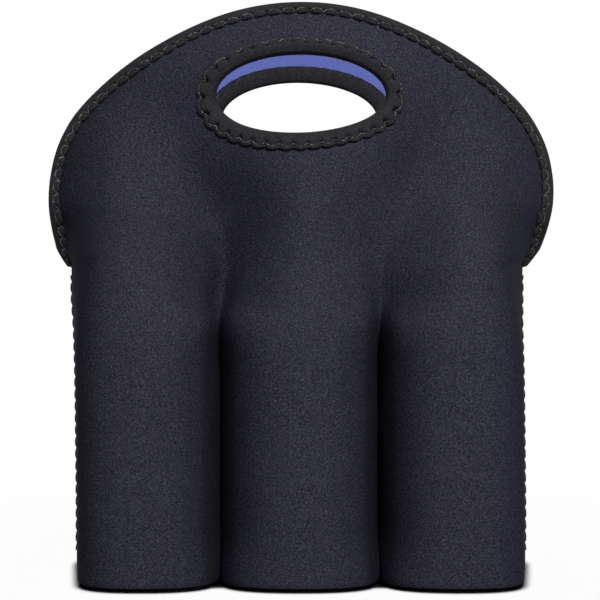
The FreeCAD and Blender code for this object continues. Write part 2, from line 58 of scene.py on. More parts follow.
END_SPREAD = 0.5
TINY = 1e-3
BLACK = (0.0, 0.0, 0.0)
WHITE = (1.0, 1.0, 1.0, 1.0)
Array = np.ndarray
Colour = tuple[float, float, float]
Stops = tuple[tuple[float, float], ...]
Quads = list[list[int]]


class Row(Enum):
    """The two sides of the carrier, with the way each one faces along Y."""

    FRONT = -1
    BACK = 1

    @property
    def word(self) -> str:
        """The side's name as the sub-parts use it."""
        return self.name.lower()

    def turn(self, points: Array) -> Array:
        """Turns front-side points half round for the back."""
        sign = -self.value
        return points * np.array([sign, sign, 1.0])


class End(Enum):
    """The two ends of the carrier, with the way each one lies along X."""

    LEFT = -1
    RIGHT = 1

    @property
    def word(self) -> str:
        """The end's name as the sub-parts use it."""
        return self.name.lower()


class Face(Enum):
    """The two faces of the flap cloth that a stitch can lie on."""

    OUTSIDE = 1
    INSIDE = -1


# Node trees


class Signal:
    """A node's socket that takes part in Python arithmetic."""

    def __init__(self, wiring: "Wiring", socket: bpy.types.NodeSocket) -> None:
        """Keeps the node tree's wiring and the socket."""
        self.wiring = wiring
        self.socket = socket

    def _join(self, operation: str, first: Any, second: Any) -> "Signal":
        """The result of a Math node on two Signals or numbers."""
        sockets = {0: first, 1: second}
        return self.wiring.signal(self.wiring.node("ShaderNodeMath", {"operation": operation}, sockets))

    def __add__(self, other: Any) -> "Signal":
        """self + other."""
        return self._join("ADD", self, other)

    def __radd__(self, other: Any) -> "Signal":
        """other + self."""
        return self._join("ADD", other, self)

    def __sub__(self, other: Any) -> "Signal":
        """self - other."""
        return self._join("SUBTRACT", self, other)

    def __rsub__(self, other: Any) -> "Signal":
        """other - self."""
        return self._join("SUBTRACT", other, self)

    def __mul__(self, other: Any) -> "Signal":
        """self * other."""
        return self._join("MULTIPLY", self, other)

    def __rmul__(self, other: Any) -> "Signal":
        """other * self."""
        return self._join("MULTIPLY", other, self)

    def most(self, other: Any) -> "Signal":
        """The greater of self and other."""
        return self._join("MAXIMUM", self, other)


class Wiring:
    """A node tree whose nodes all come from one method."""

    def __init__(self, tree: bpy.types.NodeTree) -> None:
        """Keeps the tree."""
        self.tree = tree

    def node(
        self, kind: str, settings: dict[str, Any] | None = None, sockets: dict[Any, Any] | None = None
    ) -> bpy.types.Node:
        """Adds a node.

        Args:
            kind: the node's type name.
            settings: properties to set first.
            sockets: input sockets by name or number, each a Signal or a value.

        Returns:
            The new node.
        """
        node = self.tree.nodes.new(kind)
        for name, value in (settings or {}).items():
            if name == "stops":
                self._set_stops(node, value)
            else:
                setattr(node, name, value)
        for name, value in (sockets or {}).items():
            self.feed(node.inputs[name], value)
        return node

    @staticmethod
    def _set_stops(node: bpy.types.Node, stops: Stops) -> None:
        """Sets a ramp's grey stops.

        Args:
            node: the ramp's node.
            stops: place and grey of each stop.
        """
        ramp = node.color_ramp
        while len(ramp.elements) < len(stops):
            ramp.elements.new(1.0)
        for element, (place, grey) in zip(ramp.elements, stops):
            element.position = place
            element.color = (grey, grey, grey, 1.0)

    def feed(self, socket: bpy.types.NodeSocket, value: Any) -> None:
        """Links a Signal to a socket or sets a plain value on it.

        Args:
            socket: a node's input.
            value: a Signal, or what the socket takes.
        """
        if isinstance(value, Signal):
            self.tree.links.new(value.socket, socket)
        else:
            socket.default_value = value

    def signal(self, node: bpy.types.Node, output: str | int = 0) -> Signal:
        """A node's output as a Signal."""
        return Signal(self, node.outputs[output])


class Board(Wiring):
    """A material's node tree with one principled shader."""

    def __init__(self, name: str) -> None:
        """Starts a material.

        Args:
            name: the material's name.
        """
        self.material = bpy.data.materials.new(name)
        self.material.use_nodes = True
        super().__init__(self.material.node_tree)
        self.shader = next(n for n in self.tree.nodes if n.type == "BSDF_PRINCIPLED")

    def place(self) -> Signal:
        """The piece's own coordinates."""
        return self.signal(self.node("ShaderNodeTexCoord"), "Object")

    def noise(self, scale: float, detail: float) -> Signal:
        """Noise between 0 and 1 at a number of cells per metre, with octaves of finer noise."""
        sockets = {"Vector": self.place(), "Scale": scale, "Detail": detail}
        return self.signal(self.node("ShaderNodeTexNoise", {}, sockets))

    def ramp(self, value: Signal, stops: Stops) -> Signal:
        """Maps a value through grey stops."""
        return self.signal(self.node("ShaderNodeValToRGB", {"stops": stops}, {"Fac": value}))

    def blend(self, share: Signal, low: Signal | Colour, high: Colour) -> Signal:
        """A colour between two others, at 0 the low one and at 1 the high one."""
        sockets = {0: share, 6: low if isinstance(low, Signal) else (*low, 1.0), 7: (*high, 1.0)}
        return self.signal(self.node("ShaderNodeMix", {"data_type": "RGBA"}, sockets), 2)

    def steepened(self, times: float) -> Signal:
        """Steepens the slopes along X, because a pile that lies flat shades as if they were steeper.

        Args:
            times: how much steeper.

        Returns:
            The surface's normal with those slopes.
        """
        normal = self.signal(self.node("ShaderNodeNewGeometry"), "Normal")
        sockets = {0: normal, 1: (times, 1.0, 1.0)}
        stretched = self.signal(self.node("ShaderNodeVectorMath", {"operation": "MULTIPLY"}, sockets))
        return self.signal(self.node("ShaderNodeVectorMath", {"operation": "NORMALIZE"}, {0: stretched}))

    def finish(
        self, height: Signal, depth: float, steep: float = 1.0, **sockets: Any
    ) -> bpy.types.Material:
        """Sets the shader's sockets and its bump.

        Args:
            height: the relief.
            depth: how deep the relief is, in metres.
            steep: how much steeper the slopes along X shade.
            sockets: values or Signals by socket name, with _ for a space.

        Returns:
            The material.
        """
        bump = self.node("ShaderNodeBump", {}, {"Height": height, "Distance": depth})
        if steep != 1.0:
            self.feed(bump.inputs["Normal"], self.steepened(steep))
        self.feed(self.shader.inputs["Normal"], self.signal(bump))
        for name, value in sockets.items():
            self.feed(self.shader.inputs[name.replace("_", " ")], value)
        return self.material


@dataclass(frozen=True)
class ClothFinish:
    """Matt cloth: a fine grain under light fibre specks, with faint clouds, and painted shade in the creases
    where pressed is set.
    """

    name: str
    shade: Colour
    light: Colour
    grain: tuple[float, float] = (1300.0, 3.0)
    fibre: tuple[float, float] = (2200.0, 1.0)
    cloud: tuple[float, float] = (28.0, 2.0)
    fibre_stops: Stops = ((0.53, 0.0), (0.70, 1.0))
    grain_stops: Stops = ((0.32, 0.0), (0.68, 1.0))
    shares: tuple[float, float, float] = (0.62, 0.3, 0.08)
    relief: float = 0.00025
    relief_shares: tuple[float, float] = (0.6, 0.4)
    roughness: tuple[float, float] = (0.88, 0.1)
    shine: float = 0.02
    steep: float = 1.0
    # How strongly painted shade darkens the colour deep in creases and valleys; 0 for none.
    pressed: float = 0.0

    def material(self) -> bpy.types.Material:
        """Builds the material.

        Returns:
            The material.
        """
        board = Board(self.name)
        grain, fibre, cloud = (board.noise(*sizes) for sizes in (self.grain, self.fibre, self.cloud))
        specks, weave = board.ramp(fibre, self.fibre_stops), board.ramp(grain, self.grain_stops)
        of_specks, of_weave, of_cloud = self.shares
        share = specks * of_specks + weave * of_weave + cloud * of_cloud
        colour = board.blend(share, self.shade, self.light)
        # Painted shade: the colour is darkened towards black where the shell's mask marks creases and
        # valleys.
        if self.pressed:
            hollow = board.signal(board.node("ShaderNodeAttribute", {"attribute_name": "hollow"}), "Fac")
            colour = board.blend(hollow * self.pressed, colour, BLACK)
        of_grain, of_fibre = self.relief_shares
        least, more = self.roughness
        return board.finish(
            grain * of_grain + fibre * of_fibre,
            self.relief,
            steep=self.steep,
            Base_Color=colour,
            Roughness=least + grain * more,
            Specular_IOR_Level=self.shine,
        )


@dataclass(frozen=True)
class ThreadFinish:
    """Twisted sewing thread with a soft shine, and painted glints: lighter patches in its colour standing in
    for highlights.
    """

    name: str
    shade: Colour
    light: Colour
    twist: tuple[float, float] = (2500.0, 1.0)
    glint: tuple[float, float] = (650.0, 1.0)
    glint_stops: Stops = ((0.45, 0.0), (0.7, 1.0))
    shares: tuple[float, float] = (0.8, 0.2)
    relief: float = 0.0001
    roughness: tuple[float, float] = (0.5, 0.2)
    shine: float = 0.15

    def material(self) -> bpy.types.Material:
        """Builds the material.

        Returns:
            The material.
        """
        board = Board(self.name)
        twist = board.noise(*self.twist)
        # Painted highlights: noise patches lighten the thread's colour to stand in for glints.
        glint = board.ramp(board.noise(*self.glint), self.glint_stops)
        of_glint, of_twist = self.shares
        least, more = self.roughness
        return board.finish(
            twist,
            self.relief,
            Base_Color=board.blend(glint * of_glint + twist * of_twist, self.shade, self.light),
            Roughness=least + twist * more,
            Specular_IOR_Level=self.shine,
        )


# The shell's neoprene paints shade into its creases and valleys, on top of its own colour.
NEOPRENE = ClothFinish(
    "shell_neoprene", (0.010, 0.010, 0.019), (0.090, 0.090, 0.122), steep=2.2, pressed=0.35
)
LINING = ClothFinish("lining_jersey", (0.115, 0.145, 0.46), (0.19, 0.235, 0.57))
TAPE = ClothFinish(
    "binding_tape",
    (0.012, 0.012, 0.014),
    (0.060, 0.060, 0.066),
    grain=(1500.0, 2.0),
    fibre=(2000.0, 1.0),
    cloud=(60.0, 2.0),
    fibre_stops=((0.53, 0.0), (0.72, 1.0)),
    grain_stops=((0.4, 0.0), (0.7, 1.0)),
    shares=(0.5, 0.35, 0.15),
    relief=0.0002,
    relief_shares=(1.0, 0.0),
    roughness=(0.75, 0.15),
    shine=0.06,
)
# The crease thread is black thread coloured darker still and without glints: painted shade for the deep
# creases it lies in.
HIDDEN_THREAD = ThreadFinish("crease_thread", (0.004, 0.004, 0.005), (0.012, 0.012, 0.014))
# Its light colour is the painted glint.
THREAD = ThreadFinish("sewing_thread", (0.012, 0.012, 0.014), (0.170, 0.170, 0.185))


# Meshes


def new_object(name: str, data: bpy.types.ID) -> bpy.types.Object:
    """Puts a mesh, a lamp or a camera into the scene.

    Args:
        name: the object's name.
        data: what it shows.

    Returns:
        The object, at the origin.
    """
    thing = bpy.data.objects.new(name, data)
    bpy.context.scene.collection.objects.link(thing)
    return thing


def new_piece(name: str, points: Array, faces: Sequence[Sequence[int]]) -> bpy.types.Object:
    """Makes a smooth-shaded mesh object at the origin.

    Args:
        name: the piece's name.
        points: vertices in millimetres.
        faces: corners of each face.

    Returns:
        The object, linked to the scene.
    """
    mesh = bpy.data.meshes.new(name)
    mesh.from_pydata((np.asarray(points) * MM).tolist(), [], [list(f) for f in faces])
    mesh.polygons.foreach_set("use_smooth", [True] * len(mesh.polygons))
    mesh.update()
    return new_object(name, mesh)


def dress(piece: bpy.types.Object, material: bpy.types.Material, slot: str) -> bpy.types.Object:
    """Gives a piece its material, and reports it with the slot's name.

    Args:
        piece: a finished mesh.
        material: what it is made of.
        slot: the name reported for that material.

    Returns:
        The same piece.
    """
    piece.data.materials.clear()
    piece.data.materials.append(material)
    LOG.info("%s: %d faces of %s", piece.name, len(piece.data.polygons), slot)
    return piece


def strip_faces(runs: Sequence[Sequence[int]], closed: bool = True) -> Quads:
    """Quads between runs of points and the next ones.

    Args:
        runs: the points of each run, as many in each.
        closed: whether the runs are loops.

    Returns:
        Corners of each quad.
    """
    count = len(runs[0])
    steps = [(k, (k + 1) % count) for k in range(count if closed else count - 1)]
    pairs = zip(runs, runs[1:])
    return [[one[k], one[after], other[after], other[k]] for one, other in pairs for k, after in steps]


def thicken(quads: Quads, count: int) -> Quads:
    """Closes a layer between two like sets of points.

    Args:
        quads: faces on the first set.
        count: number of points in each set.

    Returns:
        The quads, the same on the second set turned over, and quads between their rims.
    """
    sides = dict.fromkeys(side for quad in quads for side in zip(quad, quad[1:] + quad[:1]))
    rims = [(start, end) for start, end in sides if (end, start) not in sides]
    turned = [[corner + count for corner in reversed(quad)] for quad in quads]
    return quads + turned + [[end, start, start + count, end + count] for start, end in rims]


def unit(vectors: Array) -> Array:
    """Vectors made one long."""
    length = np.linalg.norm(vectors, axis=-1, keepdims=True)
    return vectors / np.maximum(length, 1e-12)


def inward_of(outline: Array) -> Array:
    """The ways that lead into a plan outline from its points."""
    along = unit(np.gradient(outline, axis=0))
    return np.stack([-along[:, 1], along[:, 0]], axis=1)


def smooth_rows(values: Array, widths: Array) -> Array:
    """Blurs each row of points along the row, with the ends held.

    Args:
        values: rows of points, shape (rows, columns, 2).
        widths: the blur's width in columns, for each row.

    Returns:
        The blurred rows.
    """
    result = values.copy()
    count = values.shape[1]
    index = np.arange(count)
    for row, width in enumerate(widths):
        if width < LEAST_BLUR:
            continue
        spread = np.minimum(width, np.minimum(index, count - 1 - index) * END_SPREAD + TINY)
        weight = np.exp(-0.5 * ((index[:, None] - index[None, :]) / spread[:, None]) ** 2)
        weight /= weight.sum(axis=1, keepdims=True)
        result[row] = weight @ values[row]
    return result


def ease_between(levels: Array, values: Array, wanted: Array) -> Array:
    """Monotone cubic interpolation between key levels.

    Args:
        levels: rising key heights.
        values: values at those heights, first axis as levels.
        wanted: heights to work out.

    Returns:
        Values at the wanted heights.
    """
    gaps = np.diff(levels)
    gaps = gaps.reshape(-1, *([1] * (values.ndim - 1)))
    slopes = np.diff(values, axis=0) / gaps
    tangents = np.zeros_like(values)
    before, after = slopes[:-1], slopes[1:]
    agree = before * after > 0
    total = np.where(agree, before + after, 1.0)
    tangents[1:-1] = np.where(agree, 2 * before * after / total, 0.0)
    tangents[0], tangents[-1] = slopes[0], slopes[-1]
    cell = np.clip(np.searchsorted(levels, wanted, side="right") - 1, 0, len(levels) - 2)
    step = gaps[cell]
    share = ((wanted - levels[cell]) / np.diff(levels)[cell]).reshape(step.shape)
    keep = 2 * share**3 - 3 * share**2 + 1
    leave = share**3 - 2 * share**2 + share
    reach = -2 * share**3 + 3 * share**2
    arrive = share**3 - share**2
    return (
        keep * values[cell]
        + leave * step * tangents[cell]
        + reach * values[cell + 1]
        + arrive * step * tangents[cell + 1]
    )


def vertex_normals(points: Array, faces: Array) -> Array:
    """Normals of a mesh's vertices.

    Args:
        points: the vertices.
        faces: corners of its quads.

    Returns:
        One unit vector for each vertex.
    """
    a, b, c, d = (points[faces[:, k]] for k in range(4))
    across = np.cross(c - a, d - b)
    normals = np.zeros_like(points)
    for k in range(4):
        np.add.at(normals, faces[:, k], across)
    return unit(normals)


@dataclass(frozen=True)
class Edge:
    """A run of points along a cloth edge with its directions."""

    points: Array
    outward: Array
    inward: Array
    closed: bool

    def runs(self) -> Array:
        """Length along the edge up to each point."""
        steps = np.linalg.norm(np.diff(self.points, axis=0), axis=1)
        return np.concatenate([[0.0], np.cumsum(steps)])

    def _pick(self, values: Array, runs: Array) -> Array:
        """Values between those at the edge's points."""
        known = self.runs()
        return np.stack([np.interp(runs, known, values[:, k]) for k in range(3)], axis=1)

    def at(self, runs: Array) -> tuple[Array, Array, Array]:
        """Points, ways outward and ways inward at lengths along the edge."""
        points, outward, inward = (self._pick(v, runs) for v in (self.points, self.outward, self.inward))
        return points, unit(outward), unit(inward)


@dataclass
class PanelShape:
    """The outer face of the front panel: three tubes that rise into a bowed half-moon flap. Millimetres.

    A tube key is (height, front, crease depth, side bow, side turn). A valley is (place, left width,
    right width, depth). A sag key is (height, wider, leaning). A blur key is (height, columns).
    """

    column_pitch: float = 73.0
    seam_half_width: float = 113.0
    tube_front: float = 72.0
    crease: float = 24.0
    side_lean_degrees: float = 9.2
    fullness: float = 2.6
    shoulder_reach: float = 0.98
    crease_reach: float = 0.995
    crease_shift: float = -1.7
    crease_spread: float = 20.0
    crease_window: float = 4.0
    divider_top: float = 126.0
    notch: float = 149.0
    ear_foot: float = 160.0
    ear_foot_share: float = 0.38
    ear_foot_swell: float = 2.6
    fold: float = 178.0
    flap_front: float = 59.0
    flap_lean_degrees: float = 9.5
    bow_radius: float = 300.0
    flap_half_width: float = 120.7
    tape_thick: float = 1.2
    flap_rise: float = 95.6
    ear_rise: float = 2.0
    crown_degrees: float = 20.0
    flank_degrees: float = 37.0
    flank_share: float = 1.557
    least_arc: int = 4
    handle_rise: float = 51.3
    handle_half_length: float = 41.0
    handle_half_height: float = 18.0
    foot_round: float = 4.0
    foot_tuck: float = 0.8
    table_top: float = 290.0
    ear_curl: float = 14.0
    lapel: float = 3.0
    lapel_run: float = 8.0
    lapel_runs: float = 5.0
    lapel_power: float = 0.8
    side_sag: tuple[float, float] = (60.0, 104.0)
    crown_sag: tuple[float, float] = (0.0, 30.0)
    lean: float = 1.0
    hole_up: tuple[float, float] = (1.9, 1.3)
    hole_down: tuple[float, float] = (2.0, -0.6)
    hole_long: tuple[float, float] = (0.0, 0.0)
    arc_counts: tuple[int, int, int, int] = (14, 22, 26, 26)
    tubes: tuple[tuple[float, float, float, float, float], ...] = (
        (0.0, 72.0, 22.0, 9.5, 56.0), (6.0, 72.0, 22.0, 9.5, 56.0), (24.0, 72.0, 36.0, 9.5, 56.0),
        (60.0, 72.0, 36.0, 9.5, 56.0), (102.0, 72.0, 36.0, 9.5, 56.0), (111.0, 71.8, 28.0, 9.6, 55.5),
        (121.0, 71.2, 19.0, 9.8, 54.0), (136.0, 69.4, 9.0, 10.2, 51.0), (149.0, 67.0, 8.0, 10.6, 47.0),
    )
    valleys: tuple[tuple[float, tuple[tuple[float, float, float, float], ...]], ...] = (
        (136.0, ((-38.0, 12.0, 21.5, 18.0), (24.0, 10.0, 10.0, 8.5), (44.0, 13.0, 11.5, 13.5))),
        (149.0, ((-38.5, 15.0, 29.0, 20.0), (24.0, 11.0, 11.0, 8.5), (48.5, 21.0, 12.5, 14.0))),
        (160.0, ((-41.0, 14.0, 28.0, 21.0), (24.0, 16.0, 16.0, 7.0), (47.5, 21.0, 17.0, 14.0))),
        (178.0, ((-44.0, 28.0, 28.0, 19.0), (23.0, 12.0, 12.0, 4.0), (49.0, 21.5, 19.5, 14.0))),
        (200.0, ((-54.0, 30.0, 28.0, 13.0), (16.0, 14.0, 14.0, 1.0), (56.5, 17.5, 24.0, 13.0))),
        (222.0, ((-61.0, 28.0, 39.0, 9.0), (16.0, 14.0, 14.0, 2.5), (66.0, 24.0, 24.0, 8.0))),
        (245.0, ((-46.0, 26.0, 30.0, 2.0), (64.0, 20.0, 20.0, 1.5))),
    )
    blurs: tuple[tuple[float, float], ...] = (
        (0.0, 0.0), (106.0, 0.0), (116.0, 1.4), (132.0, 5.0), (150.0, 7.5), (176.0, 5.5), (290.0, 5.0)
    )
    sag: tuple[tuple[float, float, float], ...] = (
        (0.0, 0.0, 0.0), (24.0, 0.0, 0.0), (60.0, 0.0, -0.3), (97.0, 0.0, -0.8), (117.0, 0.0, -1.4),
        (138.0, 0.6, -2.0), (148.0, 0.6, -2.0), (150.5, 0.9, -2.0), (153.5, 1.9, -1.8), (160.0, 1.8, -1.2),
        (166.0, 2.1, -0.8), (173.0, 2.2, -0.4), (180.0, 2.7, -0.1), (193.5, 3.6, 0.25), (207.0, 4.1, 0.4),
        (220.0, 3.6, 0.45), (228.0, 2.6, 0.6), (234.0, 1.6, 0.6), (241.0, 1.0, 0.55), (254.0, 0.4, 0.4),
        (264.0, 0.4, 0.0), (290.0, 0.4, 0.0),
    )

    def __post_init__(self) -> None:
        """Works out the table of plan outlines."""
        self.heights = np.arange(0.0, self.table_top + 1.0, 1.0)
        self.table = self._plan_table()

    @property
    def cloth_half_width(self) -> float:
        """Half width of the cloth inside its tape."""
        return self.flap_half_width - self.tape_thick

    @property
    def handle_middle(self) -> Array:
        """The middle of the handle opening, as (x, z)."""
        return np.array([0.0, self.fold + self.handle_rise])

    def _level_arc(self, apex: Array, end: Array, count: int, reach: float) -> Array:
        """A full curve from an end to an apex, level at the apex.

        Args:
            apex: where the curve runs level.
            end: where it starts.
            count: number of steps.
            reach: share of the whole curve that is used.

        Returns:
            Points as (x, y).
        """
        power = self.fullness
        last = math.asin(reach ** (power / 2))
        turns = np.linspace(last, 0.0, count + 1)
        out = np.sin(turns) ** (2 / power)
        down = 1 - np.cos(turns) ** (2 / power)
        return apex + np.stack([out / out[0], down / down[0]], axis=1) * (end - apex)

    def _tube(self, front: float, crease: float, bow: float, turn: float) -> Array:
        """A plan outline round the tubes.

        Args:
            front: how far the tubes stand out.
            crease: how deep the creases between them are.
            bow: how far the side bows in to the corner.
            turn: how far the corner lies from the seam.

        Returns:
            Points as (x, y), left to right.
        """
        seam = np.array([self.seam_half_width, 0.0])
        corner = np.array([self.seam_half_width - bow, -turn])
        outer = np.array([self.column_pitch, -front])
        pinch = np.array([self.column_pitch / 2, crease - front])
        middle = np.array([0.0, -front])
        side, shoulder, inner, centre = self.arc_counts
        start = math.radians(self.side_lean_degrees)
        chord = math.atan2(bow, turn)
        radius = math.hypot(bow, turn) / (2 * math.sin(chord - start))
        angles = np.linspace(start, 2 * chord - start, side + 1)
        turned = np.stack([np.cos(angles) - math.cos(start), math.sin(start) - np.sin(angles)], axis=1)
        first = seam + radius * turned
        second = self._level_arc(outer, corner, shoulder, self.shoulder_reach)
        third = self._level_arc(outer, pinch, inner, self.crease_reach)[::-1]
        fourth = self._level_arc(middle, pinch, centre, self.crease_reach)
        return self._whole(np.concatenate([first[:-1], second[:-1], third[:-1], fourth]))

    def _bow(self, height: float) -> Array:
        """The flap's bow from ear to ear.

        Args:
            height: where it is cut.

        Returns:
            Points as (x, y), left to right.
        """
        reach, pitch = self.cloth_half_width, self.column_pitch
        joints = [reach, (reach + pitch) / 2, pitch, pitch / 2, 0.0]
        runs = [
            np.linspace(a, b, count, endpoint=False)
            for a, b, count in zip(joints, joints[1:], self.arc_counts)
        ]
        across = np.concatenate(runs + [np.array([0.0])])
        lean = (height - self.fold) * math.tan(math.radians(self.flap_lean_degrees))
        deep = self.bow_radius - self.flap_front + lean - np.sqrt(self.bow_radius**2 - across**2)
        deep = deep + self.ear_curl * np.clip((across - pitch) / (reach - pitch), 0.0, 1.0) ** 2
        return self._whole(np.stack([across, deep], axis=1))

    @staticmethod
    def _whole(half: Array) -> Array:
        """A left-to-right outline from its right half."""
        left = half[:-1] * np.array([-1.0, 1.0])
        return np.concatenate([left, half[::-1]])

    def _key_outlines(self) -> dict[float, Array]:
        """Draws the outlines at the key heights.

        Returns:
            Outlines by height, before they are blurred.
        """
        keys = {height: self._tube(*sizes) for height, *sizes in self.tubes}
        share = self.ear_foot_share
        ear_foot = keys[self.notch] * (1 - share) + self._bow(self.fold) * share
        swell = np.linspace(1.0, 0.0, 2 * self.arc_counts[0])
        ear_foot[: len(swell), 0] -= self.ear_foot_swell * swell
        ear_foot[-len(swell) :, 0] += self.ear_foot_swell * swell[::-1]
        keys[self.ear_foot] = ear_foot
        for height, valleys in self.valleys:
            outline = keys[height] if height in keys else self._bow(height)
            for place, left, right, depth in valleys:
                away = outline[:, 0] - place
                outline[:, 1] += depth * np.exp(-((away / np.where(away < 0, left, right)) ** 2))
            keys[height] = outline
        keys[self.table_top] = self._bow(self.table_top)
        return keys

    def _plan_table(self) -> Array:
        """Works out the plan outlines at every millimetre of height.

        Returns:
            Outlines, shape (heights, columns, 2).
        """
        keys = self._key_outlines()
        table = ease_between(np.array(list(keys)), np.stack(list(keys.values())), self.heights)
        table = self._flared(smooth_rows(table, np.interp(self.heights, *zip(*self.blurs))))
        table[:, :, 0] += self.sagged(table[:, :, 0], self.heights[:, None], *self.side_sag)
        table[:, :, 0] += self.crease_moved(table[:, :, 0], self.heights[:, None])
        return table

    def crease_moved(self, across: Array, heights: Array) -> Array:
        """How far the left crease of the filled carrier stands aside, fading out above the dividers.

        Args:
            across: where the points are drawn.
            heights: how high they are.

        Returns:
            Shifts along X.
        """
        near = np.exp(-(((across * self.lean + self.column_pitch / 2) / self.crease_spread) ** 2))
        fade = np.clip((self.notch - heights) / (self.notch - self.divider_top), 0.0, 1.0)
        return self.lean * self.crease_shift * near * fade

    def sagged(self, across: Array, heights: Array, start: float, end: float) -> Array:
        """How far points stand sideways from the drawn outline of the filled, soft carrier.

        Args:
            across: where the points are drawn.
            heights: how high they are.
            start: how far out the shift starts.
            end: how far out it is full.

        Returns:
            Shifts along X.
        """
        keys = np.array(self.sag)
        across, heights = np.broadcast_arrays(across, heights)
        shifts = ease_between(keys[:, 0], keys[:, 1:], np.clip(heights.ravel(), 0.0, keys[-1, 0]))
        wider, leaning = (shifts[:, k].reshape(across.shape) for k in range(2))
        near = np.clip((np.abs(across) - start) / (end - start), 0.0, 1.0)
        near = near * near * (3 - 2 * near)
        return near * (np.sign(across) * wider + self.lean * leaning)

    def _flared(self, table: Array) -> Array:
        """Turns the free edges of the ear feet outwards like lapels.

        Args:
            table: plan outlines at every height.

        Returns:
            The same table, changed.
        """
        rise = np.clip((self.heights - self.notch) / (self.fold - self.notch), 0.0, 1.0)
        strength = self.lapel * np.sin(math.pi * rise) ** self.lapel_power
        runs = np.linalg.norm(np.diff(table, axis=1), axis=2)
        for side, order in ((-1, 1), (1, -1)):
            steps = runs[:, ::order]
            away = np.concatenate([np.zeros((len(table), 1)), np.cumsum(steps, axis=1)], axis=1)
            near = away / self.lapel_run
            dent = strength[:, None] * near * np.exp(1 - near) * (near < self.lapel_runs)
            table[:, ::order, 0] -= side * dent
        return table

    def outline(self, height: float) -> Array:
        """Looks up the plan outline at one height.

        Args:
            height: where it is cut.

        Returns:
            Points as (x, y), left to right.
        """
        low = int(min(max(math.floor(height), 0), len(self.heights) - 2))
        share = height - low
        return self.table[low] * (1 - share) + self.table[low + 1] * share

    def crease_deep(self, height: float) -> float:
        """How deep the bottom of a crease lies.

        Args:
            height: where it is cut.

        Returns:
            Its place along Y.
        """
        outline = self.outline(height)
        near = np.abs(outline[:, 0] - self.lean * self.column_pitch / 2) < self.crease_window
        return float(outline[near, 1].max())

    def deep_at(self, across: Array, heights: Array) -> Array:
        """How deep the flap lies along Y at places seen from the front."""
        outlines = (self.outline(float(height)) for height in heights)
        return np.array([np.interp(x, line[:, 0], line[:, 1]) for x, line in zip(across, outlines)])

    def half_moon(self, inset: float, step: float) -> Array:
        """The flap's outline above the fold, from the right ear over the crown to the left ear.

        Args:
            inset: how far inside the taped edge.
            step: spacing of the points.

        Returns:
            Points as (x, z).
        """
        crown, flank = math.radians(self.crown_degrees), math.radians(self.flank_degrees)
        crown_x = math.sin(crown) + self.flank_share * (math.sin(flank) - math.sin(crown))
        crown_z = 1 - math.cos(crown) + self.flank_share * (math.cos(crown) - math.cos(flank))
        ear_x, ear_z = 1 - math.sin(flank), math.cos(flank)
        width, height = self.flap_half_width, self.flap_rise - self.ear_rise
        balance = crown_x * ear_z - ear_x * crown_z
        crown_radius = (width * ear_z - ear_x * height) / balance
        ear_radius = (crown_x * height - crown_z * width) / balance
        flank_radius = self.flank_share * crown_radius
        centre = np.array([0.0, self.fold + self.flap_rise - crown_radius])
        arcs = []
        before = crown_radius
        for radius, start, end in (
            (crown_radius, 0.0, crown),
            (flank_radius, crown, flank),
            (ear_radius, flank, math.pi / 2),
        ):
            centre = centre + (before - radius) * np.array([math.sin(start), math.cos(start)])
            count = max(self.least_arc, round(radius * (end - start) / step))
            angles = np.linspace(start, end, count + 1)
            spokes = np.stack([np.sin(angles), np.cos(angles)], axis=1)
            arcs.append((centre + (radius - inset) * spokes)[1:])
            before = radius
        half = np.concatenate([[[0.0, self.fold + self.flap_rise - inset]], *arcs])
        whole = np.concatenate([half[::-1], half[1:] * np.array([-1.0, 1.0])])
        whole[:, 0] += self.sagged(whole[:, 0], whole[:, 1], *self.crown_sag)
        return whole

    def hole(self, aim: Array) -> Array:
        """The edge of the handle opening in given directions from its middle.

        Args:
            aim: angles from the right, counter-clockwise.

        Returns:
            Points as (x, z).
        """
        left = (1 - np.cos(aim)) / 2
        extra_up, extra_down, extra_long = (
            left * pair[0] + (1 - left) * pair[1] for pair in (self.hole_up, self.hole_down, self.hole_long)
        )
        tall = self.handle_half_height + self.tape_thick + np.where(np.sin(aim) > 0, extra_up, extra_down)
        long = self.handle_half_length + self.tape_thick + extra_long
        return self.handle_middle + np.stack([long * np.cos(aim), tall * np.sin(aim)], axis=1)


